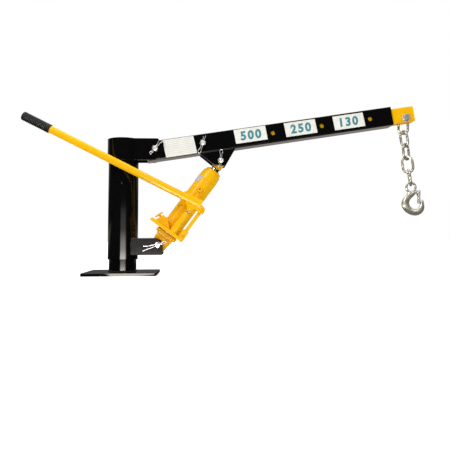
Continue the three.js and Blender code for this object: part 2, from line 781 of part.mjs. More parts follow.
// Sheet latch astride the hook's lug, its spring and its rivet
function buildLatch(hookFrame) {
  const frame = hookFrame.clone().multiply(lean(-latchLean).setPosition(latchPinOut, 0, -latchPinDrop));
  const half = latchHalfWidth;
  const face = (latchRootDepthShare * hookLength) / 2;
  const tipBack = face - latchTipDepthShare * hookLength;
  const tip = latchLengthShare * hookLength;
  const cheek = outline([
    [-face, face, face / 2], [face, face, face / 2], [face, -tip],
    [tipBack, -tip, latchThick], [tipBack, -tip / 3, latchThick], [-face, -face / 2, latchThick],
  ]);
  const gap = upright(rectangle(-overrun, face - latchThick, -overrun, overrun), -latchInside, latchInside);
  const relief = alongY(rod(hookLugRadius + latchRunGap, -latchInside, latchInside));
  const hole = crossHole(latchRivetRadius + boreGap, 0, 0, screwSides);
  piece('latch', upright(cheek, -half, half).subtract(gap).subtract(relief).subtract(hole), zinc, frame);
  piece('latch_spring', latchSpring(face - latchThick - seat - springWire), zinc, frame);
  const headLow = half + seat;
  const headHigh = headLow + latchThick;
  const shank = rod(latchRivetRadius, -headHigh, headHigh, 0, screwSides);
  const head = rod(latchRivetRadius + latchRivetRim, headLow, headHigh, 0, screwSides);
  piece('latch_rivet', alongY(shank.add(head).add(head.mirror([0, 0, 1]))), zinc, frame);
}

// Coil round the rivet, one leg under the hook's lug and one down the latch's inner face
function latchSpring(legX) {
  const steps = 20;
  const room = seat + springWire;
  const deep = hookLugNear - room;
  const last = room - latchInside;
  const low = -hookLugRadius - room;
  const points = [new THREE.Vector3(low, deep, low), new THREE.Vector3(low / 2, deep, low * 0.9)];
  for (let i = 0; i <= steps; i += 1) {
    const angle = THREE.MathUtils.lerp(springStart, springEnd, i / steps);
    const along = THREE.MathUtils.lerp(deep, last, i / steps);
    points.push(new THREE.Vector3(springCoil * Math.cos(angle), along, springCoil * Math.sin(angle)));
  }
  points.push(new THREE.Vector3(legX, last, low), new THREE.Vector3(legX, last, -springLegShare * hookLength));
  return wire(new THREE.CatmullRomCurve3(points), springWire, 44, 4);
}

// Bottle jack: foot, base, reservoir, cylinder, cap and filler plug
function buildJack() {
  piece('jack_foot', jackFoot(), yellow, jackFrame);
  footScrewPlaces().forEach(([s, y], i) => {
    piece(`foot_screw_${i + 1}`, footScrew(0).translate([s, y, 0]), zinc, jackFrame);
  });
  piece('jack_base', jackBase(), yellow, jackFrame);
  const tankLow = baseTop + seat;
  const plugHeight = tankTop - plugDrop;
  const plugHole = alongY(rod(plugNeckRadius + boreGap, -overrun, 0, 0, holeSides)).translate([0, 0, plugHeight]);
  const tank = pipe(tankRadius, tankRadius - tankWall, tankLow, tankTop);
  piece('jack_reservoir', tank.subtract(plugHole), yellow, jackFrame);
  const cylinder = pipe(cylinderRadius, cylinderRadius - cylinderWall, tankLow, tankTop - seat, rodSides);
  piece('pressure_cylinder', cylinder, steel, jackFrame);
  const bore = ramRadius + ramGap;
  const shoulderTop = tankTop + capShoulderRise;
  piece('jack_cap', turned([
    [bore, tankTop + seat], [tankRadius, tankTop + seat], [tankRadius - seat, tankTop + capTaperRise],
    [capShoulder, shoulderTop], [capCrown, shoulderTop + capGroove],
    [capCrown, capTop - capCrownStep], [capCrown - capCrownStep, capTop], [bore, capTop],
  ]), yellow, jackFrame);
  const deep = tankRadius - tankWall;
  const rimTop = tankRadius + plugThick;
  const plug = turned([
    [0, deep], [plugNeckRadius, deep], [plugNeckRadius, tankRadius + seat], [plugRadius, tankRadius + seat],
    [plugRadius, rimTop - plugRim], [plugRadius - plugRim, rimTop],
    [plugDimple, rimTop], [0, rimTop - plugRim],
  ], rodSides);
  piece('filler_plug', plug.rotate([90, 0, 0]).translate([0, 0, plugHeight]), yellow, jackFrame);
}

const footScrewPlaces = () => [
  [-footScrewAt, -footScrewAt], [-footScrewAt, footScrewAt], [footScrewAt, -footScrewAt], [footScrewAt, footScrewAt],
];

function jackFoot() {
  const flange = extruded(rectangle(-footHalf, footHalf, -footHalf, footHalf, footCorner), footBottom, footTop);
  const lug = upright(outline([
    [-footLugRoot, footBottom + footCorner], [-footLugEnd, 0], [-footLugEnd, -footLugEnd, footLugEnd],
    [footLugEnd, -footLugEnd, footLugEnd], [footLugEnd, 0], [footLugRoot, footBottom + footCorner],
  ]), -footLugHalf, footLugHalf, 7);
  let foot = flange.add(lug).subtract(crossHole(pinRadius + boreGap, 0, 0));
  for (const [s, y] of footScrewPlaces()) foot = foot.subtract(footScrew(boreGap).translate([s, y, 0]));
  return foot;
}

// Countersunk screw from below, or the larger hole that it sits in
function footScrew(room) {
  const low = room > 0 ? footBottom - overrun : footBottom + footScrewRecess;
  const head = footScrewHead + room;
  const shank = footScrewRadius + room;
  const rim = footBottom + footScrewRecess + footScrewRim;
  const neck = rim + footScrewHead - footScrewRadius;
  const end = room > 0 ? footTop + overrun : slabTop - footScrewTip;
  return turned([[0, low], [head, low], [head, rim], [shank, neck], [shank, end], [0, end]], screwSides);
}

// Cast base: pad in the foot's outline, slab, round body, valve block, pump boss and the link's lug
function jackBase() {
  const pad = extruded(rectangle(-padHalf, padHalf, -padHalf, padHalf, footCorner), footTop + seat, padTop);
  const slabEnd = linkFootAt + lugHalfWidth;
  const slab = extruded(outline([
    [slabLeft, slabFront, footCorner], [slabEnd, slabFront, footCorner],
    [slabEnd, pumpPlane + 2 * pumpBossRadius, footCorner], [slabRight, slabWaist, footCorner],
    [slabRight, slabBack, 2 * footCorner], [-slabRight, slabBack, 2 * footCorner],
    [-slabRight, slabWaist, footCorner], [slabLeft, valveDepth, footCorner],
  ]), padTop, slabTop);
  const body = turned([
    [0, padTop], [baseBodyRadius + baseSkirt, padTop], [baseBodyRadius, slabTop + baseSkirt],
    [baseBodyRadius, baseTop - castCorner], [baseBodyRadius - castEdge, baseTop], [0, baseTop],
  ]);
  const boss = rod(pumpBossRadius, padTop, slabTop + pumpBossRise, castEdge).translate([pumpAt, pumpPlane, 0]);
  const bridgeSheet = rectangle(pumpAt - pumpBossRadius, pumpAt + pumpBossRadius, pumpPlane, 0);
  const bridge = extruded(bridgeSheet, padTop, valveFaceHeight);
  const casting = pad.add(slab).add(body).add(valveBlock()).add(boss).add(bridge).add(linkLug());
  const pumpBore = rod(pumpTubeRadius + boreGap, pumpTubeBottom - seat, overrun).translate([pumpAt, pumpPlane, 0]);
  const valveBore = rod(valveStem + boreGap, -valveInside - seat, overrun, 0, screwSides);
  let base = casting.subtract(pumpBore).subtract(valveBore.transform(valvePlace().elements));
  const screwBore = rod(footScrewRadius + boreGap, 0, slabTop - footScrewTip + seat, 0, screwSides);
  for (const [s, y] of footScrewPlaces()) base = base.subtract(screwBore.translate([s, y, 0]));
  return base;
}

function valveBlock() {
  const slope = Math.tan(valveTilt);
  const top = slabTop + valveBlockRise;
  return upright(outline([
    [valveFaceAt - slope * (valveFaceHeight - padTop), padTop],
    [valveFaceAt + slope * (top - valveFaceHeight), top, castCorner],
    [valveBlockBack, top, castCorner], [0, slabTop + castCorner], [0, padTop],
  ]), valveDepth - valveBlockHalf, valveDepth + valveBlockHalf);
}

function linkLug() {
  const inner = linkHalfThick + boreGap;
  const outer = inner + lugCheek;
  const side = rectangle(linkFootAt - lugHalfWidth, linkFootAt + lugHalfWidth, padTop, linkFootHeight + lugRise, lugCheek);
  const block = upright(side, pumpPlane - outer, pumpPlane + outer);
  const gapSheet = rectangle(0, overrun, linkFootHeight - lugHalfWidth, overrun);
  const gap = upright(gapSheet, pumpPlane - inner, pumpPlane + inner);
  const boss = rod(pumpBossRadius, padTop, overrun).translate([pumpAt, pumpPlane, 0]);
  const hole = alongY(rod(linkPinRadius + boreGap, -overrun, 0, 0, screwSides));
  return block.subtract(gap.subtract(boss)).subtract(hole.translate([linkFootAt, 0, linkFootHeight]));
}

// Release valve screw with its cross bar
function buildValve() {
  const stem = rod(valveStem, -valveInside, valveReach, 0, screwSides);
  const collar = rod(valveCollar, valveReach - 2 * valveBarRadius, valveReach + valveBarRadius, valveEdge, holeSides);
  const bar = alongX(rod(valveBarRadius, -valveBarHalf, valveBarHalf, valveEdge, screwSides));
  const valve = stem.add(collar).add(bar.translate([0, 0, valveReach]));
  piece('release_valve', valve, yellow, jackFrame.clone().multiply(valvePlace()));
}

// Frame of the release screw: its axis leaves the block's sloping face
const valvePlace = () => lean(valveTilt - Math.PI / 2).setPosition(valveFaceAt, valveDepth, valveFaceHeight);

// Ram and the head that carries the upper pin
function buildRam() {
  piece('ram', rod(ramRadius, baseTop + ramRest, headBottom + ramSocket, pinEdge, 24), chrome, jackFrame);
  const collar = rod(headCollarRadius, headBottom + seat, jackPinSpan, castEdge);
  const boss = alongY(rod(headBossRadius, -headBossHalf, headBossHalf, castEdge)).translate([0, 0, jackPinSpan]);
  const socket = rod(ramRadius + seat, 0, headBottom + ramSocket + seat, 0, 24);
  const head = collar.add(boss).subtract(socket).subtract(crossHole(pinRadius + boreGap, 0, jackPinSpan));
  piece('ram_head', head, yellow, jackFrame);
}

// Pump cylinder and plunger, then the link, socket and handle that work it
function buildPump() {
  const at = [pumpAt, pumpPlane, 0];
  const bore = plungerRadius + boreGap;
  const tube = turned([
    [bore, pumpTubeBottom], [pumpTubeRadius, pumpTubeBottom], [pumpTubeRadius, pumpTubeTop - pinEdge],
    [pumpTubeRadius - pinEdge, pumpTubeTop], [bore, pumpTubeTop],
  ], 24);
  piece('pump_cylinder', tube.translate(at), yellow, jackFrame);
  piece('pump_plunger', plunger().translate(at), chrome, jackFrame);
  buildLink();
  buildSocket();
  buildHandle();
}

// Round below, flattened above the pump cylinder, with an eye for the rivet
function plunger() {
  const flatLow = pumpTubeTop + seat;
  const shank = rod(plungerRadius, pumpTubeBottom + plungerRest, plungerPinHeight, pinEdge);
  const flats = upright(rectangle(-overrun, overrun, flatLow, overrun), -plungerEyeHalf, plungerEyeHalf);
  const whole = rod(plungerRadius + seat, 0, flatLow);
  const eye = alongY(rod(plungerEyeRadius, -plungerEyeHalf, plungerEyeHalf)).translate([0, 0, plungerPinHeight]);
  const eyeBore = crossHole(plungerPinRadius + plungerEyeSlack, 0, plungerPinHeight);
  return shank.intersect(flats.add(whole)).add(eye).subtract(eyeBore);
}

function buildLink() {
  const left = linkFootAt - linkHalfWidth;
  const right = linkFootAt + linkHalfWidth;
  const side = rectangle(left, right, linkFootHeight - linkHalfWidth, linkTopHeight + linkHalfWidth, linkHalfWidth);
  let bar = upright(side, pumpPlane - linkHalfThick, pumpPlane + linkHalfThick, 6);
  for (const height of [linkFootHeight, linkTopHeight]) {
    bar = bar.subtract(crossHole(linkPinRadius + boreGap, linkFootAt, height, screwSides));
  }
  piece('pump_link', bar, yellow, jackFrame);
  const footRivet = rivet(linkPinRadius, linkHalfThick + boreGap + lugCheek + seat);
  piece('link_foot_rivet', footRivet.translate([linkFootAt, pumpPlane, linkFootHeight]), yellow, jackFrame);
}

// Rivet along Y with a head at each end, its grip reaching out to either side
function rivet(radius, reach) {
  const head = rod(rivetHeadRadius, reach, reach + rivetHeadThick, rivetEdge, holeSides);
  const shankEnd = reach + rivetHeadThick / 2;
  const shank = rod(radius, -shankEnd, shankEnd, 0, screwSides);
  return alongY(shank.add(head).add(head.mirror([0, 0, 1])));
}

// Handle socket: a tube over two pressed cheeks that take the link and the plunger
function buildSocket() {
  const inner = handleRadius + boreGap;
  const tube = alongX(pipe(socketRadius, inner, socketLeft, socketRight, 24)).translate([0, 0, tubeAbovePin]);
  const half = socketCheekHalf;
  const { x, z } = plungerRivetAt;
  const rear = socketLeft + socketRadius;
  const side = outline([
    [rear, tubeAbovePin], [rear, tubeAbovePin - socketRadius / 2, socketLobe / 2],
    [x - socketLobe, z, socketLobe / 3], [x - socketLobe, z - socketLobe, socketLobe],
    [x + socketLobe, z - socketLobe, socketLobe], [x + socketLobe, z + socketLobe / 2, socketLobe / 2],
    [-linkLobe, -linkLobe / 2, socketLobe / 3], [-linkLobe / 2, -linkLobe, linkLobe / 2],
    [linkLobe, -linkLobe, linkLobe], [linkLobe, linkLobe, linkLobe], [socketRight, tubeAbovePin],
  ]);
  const within = half - socketCheekThick;
  const between = upright(rectangle(-overrun, overrun, -overrun, overrun), -within, within);
  const bore = alongX(rod(inner, -overrun, overrun, 0, 24)).translate([0, 0, tubeAbovePin]);
  let socket = tube.add(upright(side, -half, half, 3).subtract(between).subtract(bore));
  socket = socket.subtract(crossHole(linkPinRadius + boreGap, 0, 0, screwSides));
  socket = socket.subtract(crossHole(plungerPinRadius + boreGap, x, z, screwSides));
  const screwHole = rod(clampScrewRadius + boreGap, tubeAbovePin, overrun, 0, screwSides);
  piece('handle_socket', socket.subtract(screwHole.translate([clampScrewAt, 0, 0])), yellow, leverFrame);
  piece('socket_rivet', rivet(linkPinRadius, half + seat), yellow, leverFrame);
  piece('plunger_rivet', rivet(plungerPinRadius, half + seat).translate([x, 0, z]), yellow, leverFrame);
  const screwLow = tubeAbovePin + handleRadius + seat;
  const screwTop = tubeAbovePin + socketRadius + clampScrewLift;
  const screw = rod(clampScrewRadius, screwLow, screwTop, rivetEdge, screwSides);
  piece('clamp_screw', screw.translate([clampScrewAt, 0, 0]), yellow, leverFrame);
}

function buildHandle() {
  const lift = [0, 0, tubeAbovePin];
  const tube = pipe(handleRadius, handleRadius - handleWall, handleEnd, handleInside, 24);
  piece('handle_tube', alongX(tube).translate(lift), yellow, leverFrame);
  const gripIn = handleRadius + seat;
  const gripOut = gripIn + gripThick;
  const open = handleEnd + gripLength;
  const closed = handleEnd - seat;
  const grip = turned([
    [0, closed - gripCap], [gripOut - gripCap, closed - gripCap], [gripOut, closed],
    [gripOut, open - gripThick], [gripOut - gripThick / 2, open], [gripIn, open],
    [gripIn, closed], [0, closed],
  ], 24);
  piece('grip', alongX(grip).translate(lift), rubber, leverFrame);
}

buildBase();
buildMast();
buildPins();
buildBoom();
buildExtension();
buildChain();
buildJack();
buildValve();
buildRam();
buildPump();

export default crane;
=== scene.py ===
# Looks of the fixed hydraulic jib crane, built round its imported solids.
# Metres, +Z up, +X out along the boom, +Y away from the side with the pump handle.
import json
import math

import bmesh
import bpy
import numpy as np
from mathutils import Matrix, Vector


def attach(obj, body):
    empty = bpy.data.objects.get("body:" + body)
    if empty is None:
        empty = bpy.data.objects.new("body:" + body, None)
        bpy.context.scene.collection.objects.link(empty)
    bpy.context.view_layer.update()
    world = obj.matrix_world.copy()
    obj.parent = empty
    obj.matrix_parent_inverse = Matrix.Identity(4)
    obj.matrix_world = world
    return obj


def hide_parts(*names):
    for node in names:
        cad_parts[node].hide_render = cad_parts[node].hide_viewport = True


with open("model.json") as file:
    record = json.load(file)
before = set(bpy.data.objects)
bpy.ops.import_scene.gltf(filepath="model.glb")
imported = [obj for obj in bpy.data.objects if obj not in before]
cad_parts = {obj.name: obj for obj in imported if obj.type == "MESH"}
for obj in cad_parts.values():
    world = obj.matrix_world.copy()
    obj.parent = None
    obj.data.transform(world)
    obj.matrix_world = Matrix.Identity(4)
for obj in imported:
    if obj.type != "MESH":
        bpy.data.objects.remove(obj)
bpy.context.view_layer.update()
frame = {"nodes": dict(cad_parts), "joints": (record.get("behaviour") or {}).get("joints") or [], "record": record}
nodes = frame["nodes"]
record = frame["record"]
joints = {joint["name"]: joint for joint in frame["joints"]}
body_of = {node: body for body, members in record["behaviour"]["bodies"].items() for node in members}
slot_of = {part["node"]: part["material_slot"] for part in record["subparts"]}
collection = bpy.context.scene.collection
AWAY = Vector((0, 1, 0))
MM = 0.001
TINY = 0.001 * MM

# Camera, in the picture's own pixels
IMAGE_SIDE = 450
FOCAL_PIXELS = 555.025
AXIS_ROW = 195.541
CAMERA_AT = Vector((0.233928, -1.920165, 0.113229))
CAMERA_YAW = 0.0603976
CAMERA_PITCH = 0.0805785
CAMERA_ROLL = -0.0039197

# Sizes of edges, remeshing, labels and weld beads
EDGE_ROUND = 0.6 * MM
CAST_VOXEL = 0.9 * MM
FORGED_VOXEL = 0.65 * MM
SKIN = 0.25 * MM
BEAD = 3.4 * MM
BEAD_PITCH = 1.9 * MM

# Reach for joining the CAD's triangles, and angles between faces in degrees
MERGE_REACH = 0.002 * MM
FLAT_WITHIN = 0.5
ROUNDED_FROM = 38
USUAL_CREASE = 35
SHEET_CREASE = 80
FINE_CREASE = 60
NO_CREASE = 180


# Frames of the tilted sub-assemblies, read from the joints
def tilted(origin, x_axis):
    """Frame with its y away from the camera side and its x along the direction given."""
    x = Vector(x_axis).normalized()
    place = Matrix((x, AWAY, x.cross(AWAY))).transposed().to_4x4()
    place.translation = Vector(origin)
    return place


stroke = Vector(joints["pump_stroke"]["axis"])
boom_place = tilted(joints["boom_lift"]["pos_m"], joints["boom_extension"]["axis"])
jack_place = tilted(joints["jack_tilt"]["pos_m"], AWAY.cross(stroke))
lever_place = tilted(joints["handle_lift"]["pos_m"], -Vector(joints["handle_draw"]["axis"]))
valve_axis = Vector(joints["release_screw"]["axis"])
valve_place = tilted(joints["release_screw"]["pos_m"], AWAY.cross(valve_axis))
TURN_TO_Y = Matrix.Rotation(math.radians(-90), 4, "X")
TURN_TO_X = Matrix.Rotation(math.radians(90), 4, "Y")


def local_points(node, place):
    """Corners of a CAD node, measured in a frame."""
    back = place.inverted()
    return np.array([back @ vertex.co for vertex in nodes[node].data.vertices])


def spans(node, place=Matrix()):
    points = local_points(node, place)
    return Vector(points.min(0)), Vector(points.max(0))


def turning(node, place):
    """Inner radius, outer radius, low end and high end of a node about the frame's z."""
    points = local_points(node, place)
    radial = np.hypot(points[:, 0], points[:, 1])
    return radial.min(), radial.max(), points[:, 2].min(), points[:, 2].max()


def crosswise(node):
    """Frame on a node that is round about a line away from the camera, with z along that line."""
    low, high = spans(node)
    return Matrix.Translation((low + high) / 2) @ TURN_TO_Y


# Shader building
class Net:
    """Adds nodes to the tree of one material or shader group."""

    def __init__(self, tree):
        self.tree = tree

    def feed(self, socket, value):
        if isinstance(value, bpy.types.NodeSocket):
            self.tree.links.new(value, socket)
        else:
            socket.default_value = value

    def add(self, kind, inputs=None, **settings):
        node = self.tree.nodes.new(kind)
        for key, value in settings.items():
            setattr(node, key, value)
        for key, value in (inputs or {}).items():
            self.feed(node.inputs[key], value)
        return node

    def sum(self, operation, *values):
        node = self.add("ShaderNodeMath", operation=operation)
        for socket, value in zip(node.inputs, values):
            self.feed(socket, value)
        return node.outputs[0]

    def blend(self, share, first, second):
        node = self.add("ShaderNodeMix", data_type="RGBA")
        for index, value in ((0, share), (6, first), (7, second)):
            self.feed(node.inputs[index], value)
        return node.outputs[2]

    def number_blend(self, share, first, second):
        node = self.add("ShaderNodeMix", data_type="FLOAT")
        for index, value in ((0, share), (2, first), (3, second)):
            self.feed(node.inputs[index], value)
        return node.outputs[0]

    def cloud(self, where, scale, detail=3.0, roughness=0.55):
        inputs = {"Vector": where, "Scale": scale, "Detail": detail, "Roughness": roughness}
        return self.add("ShaderNodeTexNoise", inputs).outputs["Fac"]

    def between(self, value, low, high, start=0.0, end=1.0):
        inputs = {0: value, 1: low, 2: high, 3: start, 4: end}
        return self.add("ShaderNodeMapRange", inputs, clamp=True).outputs[0]

    def group(self, tree, **inputs):
        node = self.add("ShaderNodeGroup", node_tree=tree)
        for key, value in inputs.items():
            self.feed(node.inputs[key], value)
        return node.outputs


def group_net(tree):
    net = Net(tree)
    return net, net.add("NodeGroupInput").outputs, net.add("NodeGroupOutput").inputs


def shader_group(name, numbers, made_numbers):
    """Net of an empty shader group, with what it is given and what it makes."""
    tree = bpy.data.node_groups.new(name, "ShaderNodeTree")
    tree.interface.new_socket("Where", in_out="INPUT", socket_type="NodeSocketVector")
    for in_out, labels in (("INPUT", numbers), ("OUTPUT", made_numbers)):
        for label in labels:
            tree.interface.new_socket(label, in_out=in_out, socket_type="NodeSocketFloat")
    return group_net(tree)


def edge_wear_group():
    net, given, made = shader_group("edge wear", ["Reach", "Patches"], ["Mask"])
    rounded = net.add("ShaderNodeBevel", {"Radius": given["Reach"]}, samples=4)
    facing = net.add("ShaderNodeNewGeometry").outputs["Normal"]
    dot = net.add("ShaderNodeVectorMath", {0: rounded.outputs[0], 1: facing}, operation="DOT_PRODUCT")
    turned_away = net.sum("SUBTRACT", 1.0, dot.outputs["Value"])
    patches = net.cloud(given["Where"], given["Patches"], detail=4.0, roughness=0.65)
    worn = net.between(turned_away, 0.015, 0.16)
    net.feed(made["Mask"], net.sum("MULTIPLY", worn, net.between(patches, 0.42, 0.62)))
    return net.tree


# Painted shade: a mask that is strongest where ambient occlusion finds little open sky, in corners, recesses and
# between parts, broken into smears.
def shade_and_smears_group():
    net, given, made = shader_group("painted shade and smears in corners", ["Reach"], ["Mask"])
    open_sky = net.add("ShaderNodeAmbientOcclusion", {"Distance": given["Reach"]}, samples=6)
    hidden = net.between(open_sky.outputs["AO"], 0.35, 0.75, 1.0, 0.0)
    smears = net.cloud(given["Where"], 160.0, detail=5.0, roughness=0.7)
    net.feed(made["Mask"], net.sum("MULTIPLY", hidden, net.between(smears, 0.3, 0.6, 0.35, 1.0)))
    return net.tree


def lacquer_group():
    net, given, made = shader_group("lacquer skin", ["Peel"], ["Height", "Gloss", "Tone"])
    where = given["Where"]
    peel = net.cloud(where, given["Peel"], detail=2.0, roughness=0.4)
    specks = net.cloud(where, 2600.0, detail=1.0)
    fine = net.between(specks, 0.66, 0.8)
    net.feed(made["Height"], net.sum("MULTIPLY_ADD", fine, 0.5, peel))
    net.feed(made["Gloss"], net.cloud(where, 35.0, detail=6.0, roughness=0.7))
    net.feed(made["Tone"], net.cloud(where, 9.0, detail=3.0, roughness=0.5))
    return net.tree


def dust_group():
    net, given, made = shader_group("settled dust", [], ["Mask"])
    normal = net.add("ShaderNodeNewGeometry").outputs["Normal"]
    upward = net.add("ShaderNodeSeparateXYZ", {0: normal}).outputs["Z"]
    patches = net.cloud(given["Where"], 55.0, detail=7.0, roughness=0.75)
    level = net.between(upward, 0.55, 0.95)
    net.feed(made["Mask"], net.sum("MULTIPLY", level, net.between(patches, 0.4, 0.75)))
    return net.tree


def plating_group():
    net, given, made = shader_group("plated skin", ["Grain"], ["Height", "Bloom", "Haze"])
    where = given["Where"]
    net.feed(made["Height"], net.cloud(where, given["Grain"], detail=4.0, roughness=0.7))
    bloom = net.cloud(where, 70.0, detail=5.0, roughness=0.6)
    net.feed(made["Bloom"], net.between(bloom, 0.35, 0.68))
    net.feed(made["Haze"], net.cloud(where, 240.0, detail=4.0, roughness=0.65))
    return net.tree


EDGE_WEAR = edge_wear_group()
# Painted shade shared by the corners of every enamel and metal.
SHADE_AND_SMEARS = shade_and_smears_group()
LACQUER = lacquer_group()
DUST = dust_group()
PLATING = plating_group()


def empty_net(owner):
    owner.use_nodes = True
    owner.node_tree.nodes.clear()
    return Net(owner.node_tree)


def new_material(name):
    material = bpy.data.materials.new(name)
    net = empty_net(material)
    shader = net.add("ShaderNodeBsdfPrincipled")
    net.add("ShaderNodeOutputMaterial", {"Surface": shader.outputs[0]})
    where = net.add("ShaderNodeTexCoord").outputs["Object"]
    return material, net, shader, where


def opaque(colour, strength=1.0):
    return (*[channel * strength for channel in colour], 1.0)


def relief(net, shader, height, depth, strength=1.0):
    bump = net.add("ShaderNodeBump", {"Height": height, "Distance": depth, "Strength": strength})
    net.feed(shader.inputs["Normal"], bump.outputs[0])


def enamel(name, colour, worn, shade_and_smears, dust, rough, peel_depth, worn_share, shine):
    """Sprayed enamel: orange peel, uneven gloss, rubbed edges, painted shade with smears in corners and a little
    dust.

    The fourth number of the corner shade colour and of dust is the share that covers the paint.
    """
    material, net, shader, where = new_material(name)
    skin = net.group(LACQUER, Where=where, Peel=420.0)
    tone = net.blend(skin["Tone"], opaque(colour, 0.93), opaque(colour, 1.04))
    wear = net.group(EDGE_WEAR, Where=where, Reach=1.6 * MM, Patches=130.0)["Mask"]
    wear = net.sum("MULTIPLY", wear, worn_share)
    # Painted shade, darkening the paint in corners and recesses.
    shade_and_smears_mask = net.group(SHADE_AND_SMEARS, Where=where, Reach=6 * MM)["Mask"]
    film = net.sum("MULTIPLY", net.group(DUST, Where=where)["Mask"], dust[3])
    tone = net.blend(wear, tone, opaque(worn))
    tone = net.blend(net.sum("MULTIPLY", shade_and_smears_mask, shade_and_smears[3]), tone, opaque(shade_and_smears[:3]))
    tone = net.blend(film, tone, opaque(dust[:3]))
    net.feed(shader.inputs["Base Color"], tone)
    gloss = net.between(skin["Gloss"], 0.3, 0.7, *rough)
    gloss = net.sum("MULTIPLY_ADD", film, 0.3, gloss)
    net.feed(shader.inputs["Roughness"], gloss)
    shader.inputs["Specular IOR Level"].default_value = shine
    relief(net, shader, skin["Height"], peel_depth)
    return material


BARE_EDGE = (0.9, 0.9, 0.88)


def plated(name, colour, bloom, shade_and_smears_colour, rough, metal=1.0, grain=900.0, grain_depth=0.03 * MM):
    """Plated or ground metal: cloudy bloom, fine grain, bright edges and painted shade with smears in corners."""
    material, net, shader, where = new_material(name)
    skin = net.group(PLATING, Where=where, Grain=grain)
    tone = net.blend(skin["Bloom"], opaque(colour), opaque(bloom))
    wear = net.group(EDGE_WEAR, Where=where, Reach=0.8 * MM, Patches=220.0)["Mask"]
    # Painted shade, darkening the metal in corners and recesses.
    shade_and_smears_mask = net.group(SHADE_AND_SMEARS, Where=where, Reach=4 * MM)["Mask"]
    tone = net.blend(net.sum("MULTIPLY", wear, 0.5), tone, opaque(BARE_EDGE))
    tone = net.blend(net.sum("MULTIPLY", shade_and_smears_mask, 0.6), tone, opaque(shade_and_smears_colour))
    net.feed(shader.inputs["Base Color"], tone)
    shader.inputs["Metallic"].default_value = metal
    net.feed(shader.inputs["Roughness"], net.between(skin["Haze"], 0.3, 0.7, *rough))
    relief(net, shader, skin["Height"], grain_depth)
    return material


def moulded_rubber():
    material, net, shader, where = new_material("moulded rubber")
    skin = net.group(LACQUER, Where=where, Peel=1500.0)
    film = net.group(DUST, Where=where)["Mask"]
    tone = net.blend(skin["Gloss"], opaque((0.005, 0.005, 0.0055)), opaque((0.012, 0.0115, 0.011)))
    tone = net.blend(net.sum("MULTIPLY", film, 0.1), tone, opaque((0.12, 0.11, 0.1)))
    net.feed(shader.inputs["Base Color"], tone)
    net.feed(shader.inputs["Roughness"], net.between(skin["Tone"], 0.3, 0.7, 0.5, 0.68))
    shader.inputs["Specular IOR Level"].default_value = 0.3
    relief(net, shader, skin["Height"], 0.08 * MM)
    return material


def label_vinyl(name, colour, aged):
    """Stuck-on plate: cloudy yellowing, faint creases, satin face."""
    material, net, shader, where = new_material(name)
    skin = net.group(LACQUER, Where=where, Peel=180.0)
    age = net.between(net.cloud(where, 26.0, detail=6.0, roughness=0.7), 0.4, 0.72)
    tone = net.blend(age, opaque(colour), opaque(aged))
    net.feed(shader.inputs["Base Color"], tone)
    net.feed(shader.inputs["Roughness"], net.between(skin["Gloss"], 0.3, 0.7, 0.34, 0.5))
    relief(net, shader, skin["Height"], 0.1 * MM, strength=0.5)
    return material


def printed_ink(name, colour, thin):
    """Screen-printed ink whose cover is thinner in places."""
    material, net, shader, where = new_material(name)
    cover = net.between(net.cloud(where, 320.0, detail=4.0, roughness=0.75), 0.42, 0.66)
    net.feed(shader.inputs["Base Color"], net.blend(cover, opaque(colour), opaque(thin)))
    net.feed(shader.inputs["Roughness"], net.between(cover, 0.0, 1.0, 0.42, 0.55))
    return material


YELLOW = (0.97, 0.51, 0.002)
# Deep orange painted into the yellow enamel's corners as shade.
YELLOW_SHADE_AND_SMEARS = (0.2, 0.06, 0.002)
YELLOW_SKIN = {
    "worn": (0.99, 0.66, 0.05), "dust": (0.8, 0.6, 0.2, 0.02), "rough": (0.13, 0.22),
    "peel_depth": 0.04 * MM, "worn_share": 0.35, "shine": 0.2,
}
finishes = {
    "black_enamel": enamel(
        "black enamel", (0.003, 0.003, 0.0031), worn=(0.045, 0.04, 0.035),
        shade_and_smears=(0.01, 0.008, 0.006, 0.3), dust=(0.09, 0.075, 0.06, 0.06),
        rough=(0.06, 0.13), peel_depth=0.02 * MM, worn_share=0.6, shine=0.25,
    ),
    "yellow_enamel": enamel(
        "golden yellow enamel", YELLOW, shade_and_smears=(*YELLOW_SHADE_AND_SMEARS, 0.7), **YELLOW_SKIN,
    ),
    "bright_zinc": plated(
        "bright zinc", (0.82, 0.83, 0.84), bloom=(0.94, 0.94, 0.94), shade_and_smears_colour=(0.25, 0.24, 0.2),
        rough=(0.3, 0.42), metal=0.75,
    ),
    "yellow_zinc": plated(
        "yellow passivated zinc", (0.56, 0.53, 0.42), bloom=(0.78, 0.75, 0.66),
        shade_and_smears_colour=(0.06, 0.055, 0.03), rough=(0.22, 0.36), metal=0.78,
    ),
    "hard_chrome": plated(
        "hard chrome", (0.8, 0.81, 0.83), bloom=(0.72, 0.73, 0.75), shade_and_smears_colour=(0.1, 0.09, 0.08),
        rough=(0.06, 0.14),
    ),
    "plain_steel": plated(
        "plain steel", (0.4, 0.4, 0.4), bloom=(0.3, 0.28, 0.26), shade_and_smears_colour=(0.08, 0.06, 0.04),
        rough=(0.3, 0.48),
    ),
    "bronze": plated(
        "bearing bronze", (0.6, 0.4, 0.16), bloom=(0.45, 0.28, 0.1), shade_and_smears_colour=(0.1, 0.06, 0.02),
        rough=(0.3, 0.45),
    ),
    "rubber": moulded_rubber(),
}
